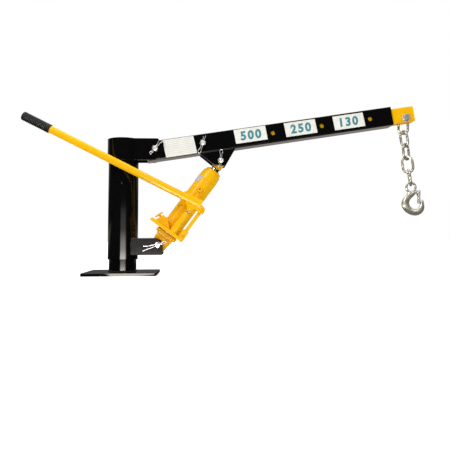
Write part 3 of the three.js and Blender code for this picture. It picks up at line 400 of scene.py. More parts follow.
# The same yellow enamel without painted corner shade, for the inner tube seen through the lock holes.
yellow_without_corner_shade = enamel(
    "golden yellow enamel of the inner tube", YELLOW, shade_and_smears=(*YELLOW_SHADE_AND_SMEARS, 0.0), **YELLOW_SKIN,
)
dull_zinc = plated(
    "dull zinc", (0.5, 0.5, 0.49), bloom=(0.66, 0.66, 0.65), shade_and_smears_colour=(0.1, 0.09, 0.08),
    rough=(0.25, 0.36), metal=0.7,
)
vinyl = label_vinyl("label vinyl", (0.88, 0.88, 0.83), (0.78, 0.77, 0.7))
silver_vinyl = label_vinyl("silver label vinyl", (0.62, 0.6, 0.55), (0.5, 0.47, 0.42))
teal_ink = printed_ink("teal ink", (0.03, 0.19, 0.24), (0.12, 0.34, 0.38))
grey_ink = printed_ink("grey ink", (0.42, 0.41, 0.38), (0.55, 0.54, 0.5))


# Putting a finished mesh in the scene
def crease_mesh(mesh, degrees):
    mesh.shade_smooth()
    mesh.set_sharp_from_angle(angle=math.radians(degrees))


def settle(name, mesh, body, slot, replaced=(), material=None, crease=USUAL_CREASE):
    """Piece with its place in its mesh, riding on a body and standing for the nodes given."""
    mesh.name = name
    mesh.materials.clear()
    mesh.materials.append(material or finishes[slot])
    if crease:
        crease_mesh(mesh, crease)
    piece = bpy.data.objects.new(name, mesh)
    collection.objects.link(piece)
    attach(piece, body)
    if replaced:
        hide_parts(*replaced)
    return piece


def stand_in(node, mesh, crease=USUAL_CREASE, material=None):
    """Piece that stands for one CAD node, with that node's body and finish."""
    return settle(f"{node}_finished", mesh, body_of[node], slot_of[node], (node,), material, crease)


def merged_copy(node, place=Matrix(), whole_flats=True):
    """Mesh of a node with its loose triangles joined and, if asked, its flat faces whole, in a frame."""
    mesh = nodes[node].data.copy()
    mesh.transform(place.inverted())
    shape = bmesh.new()
    shape.from_mesh(mesh)
    bmesh.ops.remove_doubles(shape, verts=shape.verts, dist=MERGE_REACH)
    bmesh.ops.dissolve_degenerate(shape, edges=shape.edges, dist=MERGE_REACH)
    if whole_flats:
        limit = math.radians(FLAT_WITHIN)
        bmesh.ops.dissolve_limit(shape, angle_limit=limit, verts=shape.verts, edges=shape.edges)
    shape.to_mesh(mesh)
    shape.free()
    return mesh


def final_mesh(holder):
    """Mesh that an object comes to, after which the object is taken away."""
    collection.objects.link(holder)
    bpy.context.view_layer.update()
    graph = bpy.context.evaluated_depsgraph_get()
    mesh = bpy.data.meshes.new_from_object(holder.evaluated_get(graph))
    bpy.data.objects.remove(holder)
    return mesh


def worked(mesh, steps):
    """Mesh after a row of modifiers, each a kind and its settings."""
    holder = bpy.data.objects.new("holder", mesh)
    for kind, settings in steps:
        modifier = holder.modifiers.new(kind.lower(), kind)
        for key, value in settings.items():
            setattr(modifier, key, value)
    return final_mesh(holder)


def machined(node, edge=EDGE_ROUND, place=Matrix(), material=None):
    """Stand-in with small rounded edges and level flats, for sheet, tube and bar."""
    rounding = {
        "width": edge, "segments": 2, "miter_outer": "MITER_ARC",
        "limit_method": "ANGLE", "angle_limit": math.radians(ROUNDED_FROM),
    }
    levelling = {"mode": "FACE_AREA", "weight": 100, "keep_sharp": True}
    mesh = merged_copy(node, place)
    crease_mesh(mesh, SHEET_CREASE)
    mesh = worked(mesh, [("BEVEL", rounding), ("WEIGHTED_NORMAL", levelling)])
    mesh.transform(place)
    return stand_in(node, mesh, crease=None, material=material)


def cast(node, place=Matrix(), voxel=CAST_VOXEL, passes=5, rounding=0):
    """Stand-in with soft edges and filled corners, for castings and forgings.

    Rounding is the number of subdivisions that take the facets off a curved body first.
    """
    steps = [
        ("SUBSURF", {"levels": rounding, "render_levels": rounding}),
        ("REMESH", {"mode": "VOXEL", "voxel_size": voxel, "use_smooth_shade": True}),
        ("SMOOTH", {"factor": 0.5, "iterations": passes}),
    ]
    mesh = worked(merged_copy(node, place, whole_flats=not rounding), steps)
    mesh.transform(place)
    return stand_in(node, mesh, crease=NO_CREASE)


def softened(corners, steps=4):
    """Outline points from [radius, height, rounding] corners, with each corner rounded."""
    points = []
    count = len(corners)
    for i, (x, z, *rounding) in enumerate(corners):
        here = Vector((x, z))
        reach = rounding[0] if rounding else 0.0
        if reach == 0.0:
            points.append(here)
            continue
        before = here + (Vector(corners[i - 1][:2]) - here).normalized() * reach
        after = here + (Vector(corners[(i + 1) % count][:2]) - here).normalized() * reach
        for step in range(steps + 1):
            t = step / steps
            points.append(before * (1 - t) ** 2 + here * 2 * t * (1 - t) + after * t ** 2)
    return points


def turned(corners, place=Matrix(), segments=96):
    """Closed mesh turned about the frame's z."""
    profile = softened(corners)
    rings, points, faces = [], [], []
    for radius, height in profile:
        count = segments if radius > TINY else 1
        rings.append(range(len(points), len(points) + count))
        for i in range(count):
            angle = 2 * math.pi * i / segments
            points.append((radius * math.cos(angle), radius * math.sin(angle), height))
    pairs = list(zip(rings, rings[1:]))
    if profile[0][0] > TINY:
        pairs.append((rings[-1], rings[0]))
    for low, high in pairs:
        for i in range(segments):
            j = (i + 1) % segments
            ends = (low[i % len(low)], low[j % len(low)], high[j % len(high)], high[i % len(high)])
            faces.append(list(dict.fromkeys(ends)))
    return closed_mesh(points, [face for face in faces if len(face) > 2], place)


def closed_mesh(points, faces, place):
    mesh = bpy.data.meshes.new("turned")
    mesh.from_pydata([tuple(point) for point in points], [], faces)
    shape = bmesh.new()
    shape.from_mesh(mesh)
    bmesh.ops.remove_doubles(shape, verts=shape.verts, dist=TINY)
    bmesh.ops.recalc_face_normals(shape, faces=shape.faces)
    shape.to_mesh(mesh)
    shape.free()
    mesh.transform(place)
    return mesh


def smooth_path(points, steps=8):
    """Points on a Catmull-Rom curve through the points given."""
    path = []
    ends = [points[0] * 2 - points[1], *points, points[-1] * 2 - points[-2]]
    for a, b, c, d in zip(ends, ends[1:], ends[2:], ends[3:]):
        for step in range(steps):
            t = step / steps
            linear = (c - a) * t
            square = (a * 2 - b * 5 + c * 4 - d) * t ** 2
            cube = (b * 3 - a - c * 3 + d) * t ** 3
            path.append(b + (linear + square + cube) / 2)
    path.append(points[-1])
    return path


def swept(points, radius, place, sides=3):
    """Round wire along points, with flat ends."""
    data = bpy.data.curves.new("wire", "CURVE")
    data.dimensions = "3D"
    data.bevel_depth = radius
    data.bevel_resolution = sides
    data.use_fill_caps = True
    spline = data.splines.new("POLY")
    spline.points.add(len(points) - 1)
    for slot, point in zip(spline.points, points):
        slot.co = (*point, 1)
    mesh = final_mesh(bpy.data.objects.new("wire", data))
    mesh.transform(place)
    return mesh


# Geometry Nodes
JUST_UNDER_HALF = 0.4999
WELD_REACH = 3 * MM
BELL_BASE = 2.718
RIPPLE_SIZES = (0.82, 1.12)


def geometry_tree(name, inputs):
    """Net of an empty Geometry Nodes tree, with what it is given and what it makes."""
    tree = bpy.data.node_groups.new(name, "GeometryNodeTree")
    for label, kind in inputs:
        tree.interface.new_socket(label, in_out="INPUT", socket_type=f"NodeSocket{kind}")
    tree.interface.new_socket("Geometry", in_out="OUTPUT", socket_type="NodeSocketGeometry")
    return group_net(tree)


def closing(net, given, made, geometry):
    """End of every tree: real geometry, smooth, with its material."""
    real = net.add("GeometryNodeRealizeInstances", {"Geometry": geometry})
    smooth = net.add("GeometryNodeSetShadeSmooth", {"Geometry": real.outputs[0]})
    inputs = {"Geometry": smooth.outputs[0], "Material": given["Finish"]}
    coated = net.add("GeometryNodeSetMaterial", inputs)
    net.feed(made["Geometry"], coated.outputs[0])
    return net.tree


def link_tree():
    """Chain link: a bar bent round a long loop, a little thicker at its butt weld."""
    net, given, made = geometry_tree("chain link", [
        ("Bar radius", "Float"), ("Inner length", "Float"), ("Inner width", "Float"),
        ("Weld swell", "Float"), ("Finish", "Material"),
    ])
    bar = net.sum("MULTIPLY", given["Bar radius"], 2.0)
    wide = net.sum("ADD", given["Inner width"], bar)
    long = net.sum("ADD", given["Inner length"], bar)
    frame_curve = net.add("GeometryNodeCurvePrimitiveQuadrilateral", {"Width": wide, "Height": long})
    half = net.sum("MULTIPLY", wide, JUST_UNDER_HALF)
    inputs = {"Curve": frame_curve.outputs[0], "Radius": half, "Count": 24}
    bent = net.add("GeometryNodeFilletCurve", inputs, mode="POLY")
    even = net.add("GeometryNodeResampleCurve", {"Curve": bent.outputs[0], "Count": 120})
    spot = net.add("ShaderNodeSeparateXYZ", {0: net.add("GeometryNodeInputPosition").outputs[0]})
    near = net.sum("MULTIPLY", spot.outputs["Y"], 1 / WELD_REACH)
    swell = net.sum("POWER", BELL_BASE, net.sum("MULTIPLY", net.sum("MULTIPLY", near, near), -1.0))
    swell = net.sum("MULTIPLY", swell, net.sum("LESS_THAN", spot.outputs["X"], 0.0))
    inputs = {"Curve": even.outputs[0], "Radius": net.sum("MULTIPLY_ADD", swell, given["Weld swell"], 1.0)}
    swollen = net.add("GeometryNodeSetCurveRadius", inputs)
    ring = net.add("GeometryNodeCurvePrimitiveCircle", {"Radius": given["Bar radius"], "Resolution": 20})
    thickness = net.add("GeometryNodeInputRadius").outputs[0]
    inputs = {"Curve": swollen.outputs[0], "Profile Curve": ring.outputs[0], "Scale": thickness}
    solid = net.add("GeometryNodeCurveToMesh", inputs)
    return closing(net, given, made, solid.outputs[0])


def bead_tree():
    """Weld bead: overlapping ripples laid along a path."""
    net, given, made = geometry_tree("weld bead", [
        ("Geometry", "Geometry"), ("Width", "Float"), ("Pitch", "Float"), ("Seed", "Int"),
        ("Finish", "Material"),
    ])
    path = net.add("GeometryNodeMeshToCurve", {"Mesh": given["Geometry"]})
    inputs = {"Curve": path.outputs[0], "Length": given["Pitch"]}
    steps = net.add("GeometryNodeResampleCurve", inputs, mode="LENGTH")
    ripple = net.add("GeometryNodeMeshUVSphere", {"Segments": 12, "Rings": 8, "Radius": 0.5})
    tangent = net.add("GeometryNodeInputTangent")
    turn = net.add("FunctionNodeAlignRotationToVector", {"Vector": tangent.outputs[0]}, axis="X")
    chance = net.add("FunctionNodeRandomValue", data_type="FLOAT")
    chance.inputs[2].default_value, chance.inputs[3].default_value = RIPPLE_SIZES
    net.feed(chance.inputs["Seed"], given["Seed"])
    width = net.sum("MULTIPLY", chance.outputs[1], given["Width"])
    inputs = {"X": net.sum("MULTIPLY", width, 0.8), "Y": width, "Z": width}
    scale = net.add("ShaderNodeCombineXYZ", inputs)
    inputs = {
        "Points": steps.outputs[0], "Instance": ripple.outputs["Mesh"],
        "Rotation": turn.outputs[0], "Scale": scale.outputs[0],
    }
    laid = net.add("GeometryNodeInstanceOnPoints", inputs)
    return closing(net, given, made, laid.outputs[0])


def grown(tree, values, start=None):
    """Plain mesh that a tree makes from its named inputs and, where it follows one, a path."""
    holder = bpy.data.objects.new("grown", start or bpy.data.meshes.new("grown"))
    modifier = holder.modifiers.new("grown", "NODES")
    modifier.node_group = tree
    for item in tree.interface.items_tree:
        if item.item_type == "SOCKET" and item.name in values:
            modifier[item.identifier] = values[item.name]
    return final_mesh(holder)


def path_mesh(points, closed=False):
    mesh = bpy.data.meshes.new("path")
    edges = [(i, i + 1) for i in range(len(points) - 1)]
    if closed:
        edges.append((len(points) - 1, 0))
    mesh.from_pydata([tuple(point) for point in points], edges, [])
    return mesh


WELD_BEAD = bead_tree()
CHAIN_LINK = link_tree()


def weld(name, body, points, seed, closed=False, width=BEAD):
    """Painted weld bead along a path."""
    values = {"Width": width, "Pitch": BEAD_PITCH, "Seed": seed, "Finish": finishes["black_enamel"]}
    mesh = grown(WELD_BEAD, values, path_mesh(points, closed))
    return settle(name, mesh, body, "black_enamel", crease=FINE_CREASE)


# Camera, floor and lamps
def make_camera():
    forward = Vector((
        math.sin(CAMERA_YAW) * math.cos(CAMERA_PITCH),
        math.cos(CAMERA_YAW) * math.cos(CAMERA_PITCH),
        math.sin(CAMERA_PITCH),
    ))
    level = Vector((math.cos(CAMERA_YAW), -math.sin(CAMERA_YAW), 0))
    upright = level.cross(forward)
    right = level * math.cos(CAMERA_ROLL) + upright * math.sin(CAMERA_ROLL)
    up = upright * math.cos(CAMERA_ROLL) - level * math.sin(CAMERA_ROLL)
    data = bpy.data.cameras.new("camera")
    data.sensor_width = 36
    data.lens = FOCAL_PIXELS * data.sensor_width / IMAGE_SIDE
    data.shift_y = (AXIS_ROW - IMAGE_SIDE / 2) / IMAGE_SIDE
    data.clip_start = 0.05
    data.clip_end = 200
    camera = bpy.data.objects.new("camera", data)
    collection.objects.link(camera)
    place = Matrix((right, up, -forward)).transposed().to_4x4()
    place.translation = CAMERA_AT
    camera.matrix_world = place
    bpy.context.scene.camera = camera


# Light, where a strength of 1 is a white background.
# A ramp is where it starts, where it ends, and its values at those two.
FLOOR_REACH = 60
FLOOR_LEVEL = -0.25 * MM
FLOOR_COLOUR = (0.82, 0.82, 0.8, 1)
MIRRORED_TINT = (1, 0.93, 0.85, 1)
WEDGE_LEFT = (-0.24, -0.18, 0.0, 1.0)
WEDGE_RIGHT = (0.4, 0.62, 1.0, 0.0)
WEDGE_FRONT = (-0.13, -0.1, 1.0, 0.0)
NEAREST = 0.02
BACKDROP_BY_DISTANCE = (0.7, 3.0, 0.5, 1.0)
FLOOR_BEHIND = (0.5, 1.4, 0.02, 0.5)
GLOW_BY_DISTANCE = (0.4, 2.4, 13.0, 1.8)
GLOW_AT_FOOT = (0.35, 0.9, 26.0, 0.0)
SKY_BEHIND = (0.35, 0.85, 0.02, 1.0)
SKY_BEHIND_BY_HEIGHT = (0.06, 0.3, 0.06, 1.0)
SKY_ABOVE = (0.3, 0.65, 0.0, 0.4)
SKY_HORIZON = (0.012, 0.046, 1.6, 0.0)
SOFT_FROM_BEHIND = (-0.3, 0.5, 0.3, 0.62)
SOFT_FROM_ABOVE = (0.3, 0.9, 0.0, 0.25)


def lit_wedge(net, x, y):
    """Mask of the brightly lit stretch in front of the crane that its gloss paint mirrors."""
    ahead = net.sum("MAXIMUM", net.sum("MULTIPLY", y, -1.0), NEAREST)
    ratio = net.sum("DIVIDE", x, ahead)
    left_edge = net.between(ratio, *WEDGE_LEFT)
    right_edge = net.between(ratio, *WEDGE_RIGHT)
    in_front = net.between(y, *WEDGE_FRONT)
    return net.sum("MULTIPLY", net.sum("MULTIPLY", left_edge, right_edge), in_front)


def make_floor():
    """Pale floor that keeps the crane's shadow, and that gloss paint sees as a lit stretch."""
    mesh = bpy.data.meshes.new("floor")
    reach = FLOOR_REACH
    corners = [(-reach, -reach), (reach, -reach), (reach, reach), (-reach, reach)]
    mesh.from_pydata([(x, y, FLOOR_LEVEL) for x, y in corners], [], [(0, 1, 2, 3)])
    floor = bpy.data.objects.new("floor", mesh)
    collection.objects.link(floor)
    material = bpy.data.materials.new("pale floor")
    net = empty_net(material)
    matt = net.add("ShaderNodeBsdfDiffuse", {"Color": FLOOR_COLOUR})
    ways = net.add("ShaderNodeLightPath").outputs
    spot = net.add("ShaderNodeNewGeometry").outputs["Position"]
    across = net.add("ShaderNodeSeparateXYZ", {0: spot})
    distance = net.add("ShaderNodeVectorMath", {0: spot}, operation="LENGTH").outputs["Value"]
    backdrop = net.between(distance, *BACKDROP_BY_DISTANCE)
    seen = net.sum("MAXIMUM", ways["Is Camera Ray"], ways["Is Transmission Ray"])
    strength = net.sum("MULTIPLY", backdrop, seen)
    white = net.add("ShaderNodeEmission", {"Color": (1, 1, 1, 1), "Strength": strength})
    both = net.add("ShaderNodeAddShader", {0: matt.outputs[0], 1: white.outputs[0]})
    behind = net.between(across.outputs["Y"], *FLOOR_BEHIND)
    lit_patch = lit_wedge(net, across.outputs["X"], across.outputs["Y"])
    at_foot = net.between(distance, *GLOW_AT_FOOT)
    glow = net.sum("MAXIMUM", net.between(distance, *GLOW_BY_DISTANCE), at_foot)
    lit_patch = net.sum("MULTIPLY", lit_patch, glow)
    shown = net.add("ShaderNodeEmission", {
        "Color": MIRRORED_TINT, "Strength": net.sum("MAXIMUM", behind, lit_patch),
    })
    inputs = {0: ways["Is Glossy Ray"], 1: both.outputs[0], 2: shown.outputs[0]}
    either = net.add("ShaderNodeMixShader", inputs)
    net.add("ShaderNodeOutputMaterial", {"Surface": either.outputs[0]})
    mesh.materials.append(material)


def make_world():
    """White behind everything the camera sees, and a studio that is darker in front of the crane."""
    world = bpy.data.worlds.new("studio")
    bpy.context.scene.world = world
    net = empty_net(world)
    direction = net.add("ShaderNodeTexCoord").outputs["Generated"]
    along = net.add("ShaderNodeSeparateXYZ", {0: direction})
    x, y, z = along.outputs
    behind = net.sum("MULTIPLY", net.between(y, *SKY_BEHIND), net.between(z, *SKY_BEHIND_BY_HEIGHT))
    above = net.between(z, *SKY_ABOVE)
    low_front = net.sum("MULTIPLY", lit_wedge(net, x, y), net.between(z, *SKY_HORIZON))
    mirrored = net.sum("MAXIMUM", net.sum("MAXIMUM", behind, above), low_front)
    soft = net.sum("ADD", net.between(y, *SOFT_FROM_BEHIND), net.between(z, *SOFT_FROM_ABOVE))
    ways = net.add("ShaderNodeLightPath").outputs
    seen = net.sum("MAXIMUM", ways["Is Camera Ray"], ways["Is Transmission Ray"])
    strength = net.number_blend(ways["Is Glossy Ray"], soft, mirrored)
    strength = net.number_blend(seen, strength, 1.0)
    ground = net.add("ShaderNodeBackground", {"Color": (1, 1, 1, 1), "Strength": strength})
    net.add("ShaderNodeOutputWorld", {"Surface": ground.outputs[0]})


def lamp(name, at, aim, size, power):
    """Square area lamp that the camera doesn't see."""
    data = bpy.data.lights.new(name, "AREA")
    data.size = size
    data.energy = power
    holder = bpy.data.objects.new(name, data)
    collection.objects.link(holder)
    holder.location = at
    holder.rotation_euler = (Vector(aim) - Vector(at)).to_track_quat("-Z", "Y").to_euler()
    holder.visible_camera = False


def make_lamps():
    lamp("key", at=(-1.3, -2.2, 2.6), aim=(0.2, 0, 0.35), size=1.5, power=62)
    lamp("fill", at=(2.6, -2.0, 2.3), aim=(0.5, 0, 0.35), size=1.6, power=16)
    lamp("top", at=(0.4, 0.3, 3.0), aim=(0.4, 0, 0.3), size=2.2, power=40)


# Base and mast
def build_base():
    machined("base_plate", edge=1.1 * MM)
    inner, outer, low, high = turning("post", Matrix())
    corners = [[inner, low], [outer, low], [outer, high, EDGE_ROUND], [inner, high]]
    stand_in("post", turned(corners))
    machined("post_cap")
    machined("thrust_washer")
    foot = [
        Vector((outer * math.cos(a), outer * math.sin(a), low + BEAD / 4))
        for a in np.linspace(0, 2 * math.pi, 72, endpoint=False)
    ]
    weld("post_foot_weld", "base", foot, seed=3, closed=True, width=1.4 * BEAD)


def build_mast():
    inner, outer, low, high = turning("mast_sleeve", Matrix())
    edge = 1.2 * MM
    corners = [[inner, low, edge], [outer, low, edge], [outer, high, edge], [inner, high, edge]]
    stand_in("mast_sleeve", turned(corners, segments=128))
    machined("mast_cap")
    machined("head_bracket", edge=1.0 * MM)
    machined("lower_bracket", edge=1.2 * MM)
    build_nipple()
    low, high = spans("lower_bracket")
    for side, y, seed in (("near", low.y, 5), ("far", high.y, 7)):
        toe = Vector((math.sqrt(max(outer ** 2 - y ** 2, TINY)), y, low.z + BEAD))
        top = toe.copy()
        top.z = high.z - BEAD
        weld(f"bracket_weld_{side}", "mast", [toe, top], seed)


def build_nipple():
    """Grease nipple with a round head, a waist and a round collar in place of its hexagon, as shares of its own
    size.
    """
    low, high = spans("grease_nipple")
    centre = (low + high) / 2
    place = Matrix.Translation((centre.x, low.y, centre.z)) @ TURN_TO_Y
    ball = (high.x - low.x) / 2
    reach = high.y - low.y
    corners = [
        [0, 0], [0.35 * ball, 0, 0.2 * ball], [0.55 * ball, 0.12 * reach, 0.2 * ball],
        [0.4 * ball, 0.3 * reach, 0.2 * ball], [0.5 * ball, 0.42 * reach],
        [ball, 0.44 * reach, 0.1 * ball], [ball, 0.7 * reach, 0.1 * ball],
        [0.5 * ball, 0.74 * reach], [0.5 * ball, reach], [0, reach],
    ]
    stand_in("grease_nipple", turned(corners, place, segments=48))


# Pins, each with a domed head at the back and a spring clip in front
PIN_RADIUS = 8 * MM
PIN_TIP = 4 * MM
PIN_TIP_ROUND = 2.4 * MM
PIN_HEAD = 5 * MM
CLIP_WIRE = 1.45 * MM
CLIP_CLEARANCE = 0.6 * MM
CLIP_LOOP_SHARES = [
    (0, 0), (0.35, 0), (0.62, 0), (0.78, -0.04), (0.93, 0), (0.99, 0.1),
    (0.93, 0.2), (0.8, 0.225), (0.62, 0.17), (0.45, 0.125), (0.36, 0.115),
]
CLIP_STRAIGHT_SHARES = [(-1, 0), (-0.5, 0)]
CLIP_FLARE_SHARES = [(-0.49, 0.165), (-0.64, 0.19), (-0.86, 0.29)]
CLIP_BULGE = [40, 65, 90, 115, 140]
# Lean of the clip in degrees, side of its straight leg, length of its loop, length of its tails
CLIPS = {
    "boom_pin": (51, 1, 38 * MM, 26.6 * MM),
    "lower_jack_pin": (20, 1, 30 * MM, 53 * MM),
    "lock_pin": (-116, -1, 38 * MM, 26.6 * MM),
    "upper_jack_pin": (75, 1, 38 * MM, 26.6 * MM),
}


def build_pin(name, tilt):
    """Pin and its clip. Tilt is how far the body that holds them leans."""
    place = crosswise(name)
    outer, low, high = turning(name, place)[1:]
    points = local_points(name, place)
    shank = np.hypot(points[:, 0], points[:, 1])[points[:, 2] < low + PIN_TIP].max()
    head = high - PIN_HEAD
    dome = 1.4 * MM
    corners = [
        [0, low], [shank, low, PIN_TIP_ROUND], [shank, head], [outer, head, EDGE_ROUND],
        [outer, high - dome, dome], [0.6 * outer, high, dome], [0, high],
    ]
    stand_in(name, turned(corners, place, segments=64))
    build_clip(name, tilt)


def build_clip(pin, tilt):
    degrees, side, length, tail = CLIPS[pin]
    low, high = spans(pin)
    clip_low, clip_high = spans(f"{pin}_clip")
    centre = Vector(((low.x + high.x) / 2, (clip_low.y + clip_high.y) / 2, (low.z + high.z) / 2))
    turn = Matrix.Rotation(-math.radians(degrees) - tilt, 4, "Y")
    bulge = PIN_RADIUS + CLIP_WIRE + CLIP_CLEARANCE
    points = [Vector((x, 0, side * z)) * tail for x, z in CLIP_STRAIGHT_SHARES]
    points += [Vector((x, 0, side * z)) * length for x, z in CLIP_LOOP_SHARES]
    for angle in CLIP_BULGE:
        turned_by = math.radians(angle)
        points.append(Vector((bulge * math.cos(turned_by), 0, side * bulge * math.sin(turned_by))))
    points += [Vector((x, 0, side * z)) * tail for x, z in CLIP_FLARE_SHARES]
    mesh = swept(smooth_path(points, 6), CLIP_WIRE, Matrix.Translation(centre) @ turn)
    stand_in(f"{pin}_clip", mesh, crease=FINE_CREASE, material=dull_zinc)


# Boom. A load plate is its start, its end, its distance from the boom's top edge and its number.
LOAD_PLATES = [
    (0.275, 0.3862, 3 * MM, "500"), (0.4519, 0.5626, 5 * MM, "250"), (0.6254, 0.7346, 6.5 * MM, "130"),
]
LOAD_PLATE_HEIGHT = 49 * MM
LOAD_PLATE_LEAN = 0.04
CARD_SPAN = (0.0292, 0.136)
CARD_INSET = 2.5 * MM
CARD_LEAN = 0.075
LABEL_MARGIN = 4 * MM
LABEL_CORNER = 0.8 * MM
LABEL_GAP = 0.05 * MM
CARD_RULES = 9
RULE_HEIGHT = 0.7 * MM
RULE_CORNER = 0.2 * MM
FIGURE_HEIGHT_SHARE = 0.66
FIGURE_WEIGHT = 0.045
FIGURE_SPACING = 1.3
FIGURE_WIDTHS = {"500": 2.25, "250": 2.25, "130": 2.0}


def plate(name, u_span, v_span, y, thick, material, rounding, lean=0.0):
    """Thin label on the boom's side with rounded corners, its back face at y and its ends leaning."""
    middle = (v_span[0] + v_span[1]) / 2
    corners = [
        [u - lean * (v - middle), v]
        for u, v in zip((u_span[0], u_span[1], u_span[1], u_span[0]), np.repeat(v_span, 2))
    ]
    ring = softened([[*corner, rounding] for corner in corners], 5)
    count = len(ring)
    points = [(u, y, v) for u, v in ring] + [(u, y - thick, v) for u, v in ring]
    faces = [list(range(count)), list(range(count, 2 * count))]
    faces += [[i, (i + 1) % count, count + (i + 1) % count, count + i] for i in range(count)]
    return settle(name, closed_mesh(points, faces, boom_place), "boom", "black_enamel", material=material)


def numeral(name, text, u_span, v_span, y):
    """Plain number in tall narrow figures, fitted to a box on the boom's side."""
    data = bpy.data.curves.new(name, "FONT")
    data.body = text
    data.extrude = SKIN / 2
    data.offset = FIGURE_WEIGHT
    data.space_character = FIGURE_SPACING
    mesh = final_mesh(bpy.data.objects.new(name, data))
    flat = np.array([vertex.co for vertex in mesh.vertices])
    low, high = flat.min(0), flat.max(0)
    wide = (u_span[1] - u_span[0]) / (high[0] - low[0])
    tall = (v_span[1] - v_span[0]) / (high[1] - low[1])
    for vertex in mesh.vertices:
        x, up, out = vertex.co
        lean = LOAD_PLATE_LEAN * (up - low[1]) * tall
        vertex.co = (u_span[0] + (x - low[0]) * wide + lean, y - out, v_span[0] + (up - low[1]) * tall)
    mesh.transform(boom_place)
    return settle(name, mesh, "boom", "black_enamel", material=teal_ink)


def build_labels():
    """Numbered plates and a bare card with grey rules on the boom's near side."""
    low, high = spans("outer_boom", boom_place)
    face = low.y - LABEL_GAP
    for start, end, inset, text in LOAD_PLATES:
        ends = (high.z - inset - LOAD_PLATE_HEIGHT, high.z - inset)
        plate(f"load_plate_{text}", (start, end), ends, face, SKIN, vinyl, LABEL_CORNER, LOAD_PLATE_LEAN)
        tall = FIGURE_HEIGHT_SHARE * LOAD_PLATE_HEIGHT
        wide = FIGURE_WIDTHS[text] * tall
        middle_u, middle_v = (start + end) / 2, (ends[0] + ends[1]) / 2
        across = (middle_u - wide / 2, middle_u + wide / 2)
        upright = (middle_v - tall / 2, middle_v + tall / 2)
        numeral(f"load_figures_{text}", text, across, upright, face - SKIN)
    ends = (low.z + CARD_INSET, high.z - CARD_INSET)
    plate("record_card", CARD_SPAN, ends, face, SKIN, vinyl, LABEL_CORNER, CARD_LEAN)
    for i in range(CARD_RULES):
        v = ends[0] + (ends[1] - ends[0]) * (i + 1) / (CARD_RULES + 1)
        shift = CARD_LEAN * ((ends[0] + ends[1]) / 2 - v)
        span = (CARD_SPAN[0] + LABEL_MARGIN + shift, CARD_SPAN[1] - LABEL_MARGIN + shift)
        name = f"record_card_rule_{i + 1}"
        plate(name, span, (v, v + RULE_HEIGHT), face - SKIN, SKIN / 3, grey_ink, RULE_CORNER)


def build_boom():
    for node in ("outer_boom", "gusset_near", "gusset_far"):
        machined(node, edge=0.9 * MM, place=boom_place)
    machined("inner_boom", edge=0.8 * MM, place=boom_place, material=yellow_without_corner_shade)
    for side, seed in (("near", 11), ("far", 13)):
        low, high = spans(f"gusset_{side}", boom_place)
        y = low.y if side == "near" else high.y
        ends = [(low.x + 2 * BEAD, high.z), (high.x - 2 * BEAD, high.z)]
        points = [boom_place @ Vector((u, y, v)) for u, v in ends]
        weld(f"gusset_weld_{side}", "boom", points, seed)
    build_labels()


def build_load_bolt():
    machined("load_bolt", edge=0.8 * MM, place=boom_place, material=dull_zinc)
    for node in ("load_nut", "load_washer_near", "load_washer_far"):
        machined(node, edge=0.5 * MM, place=boom_place)


# Chain and hook
FACET_ALLOWANCE = 1.03
WELD_SWELL = 0.12


def link_place(node):
    """Frame at a link's middle, with x across it, y up along it and z through its thickness."""
    points = local_points(node, Matrix())
    centre = (points.max(0) + points.min(0)) / 2
    spread = points - points.mean(0)
    axes = np.linalg.eigh(spread.T @ spread)[1]
    long, wide = Vector(axes[:, 2]), Vector(axes[:, 1])
    if long.z < 0:
        long = -long
    thick = long.cross(wide)
    place = Matrix((wide, long, -thick)).transposed().to_4x4()
    place.translation = Vector(centre)
    return place


def build_chain():
    for index in range(1, 6):
        node = f"chain_link_{index}"
        place = link_place(node)
        low, high = spans(node, place)
        size = high - low
        bar = size.z / 2 * FACET_ALLOWANCE
        values = {
            "Bar radius": bar, "Inner length": size.y - 4 * bar, "Inner width": size.x - 4 * bar,
            "Weld swell": WELD_SWELL, "Finish": finishes["yellow_zinc"],
        }
        mesh = grown(CHAIN_LINK, values)
        middle = (low + high) / 2
        mesh.transform(place @ Matrix.Translation(middle))
        stand_in(node, mesh, crease=FINE_CREASE)


def build_hook():
    cast("hook", voxel=FORGED_VOXEL, passes=18, rounding=2)
    machined("latch", edge=0.35 * MM)
    dome_rivet("latch_rivet", shank=2.6 * MM, deep=1.4 * MM)


def dome_rivet(node, shank, deep):
    """Rivet with a domed head of that depth at each end."""
    place = crosswise(node)
    low, high = spans(node, place)
    head, low, high = high.x, low.z, high.z
    rounding = 0.3 * deep
    corners = [[0, low], [0.55 * head, low, rounding], [head, low + 0.8 * deep, rounding]]
    corners.append([shank, low + deep])
    corners += [[radius, low + high - z, *rest] for radius, z, *rest in reversed(corners)]
    stand_in(node, turned(corners, place, segments=48))


# Jack
SILVER_LABEL_RISE = (0.16, 0.186)
SILVER_LABEL_TURN = (184, 236)
SEAL_BORE = 2.7 * MM
SEAL_REACH = 4.6 * MM
SEAL_HEIGHT = 3 * MM


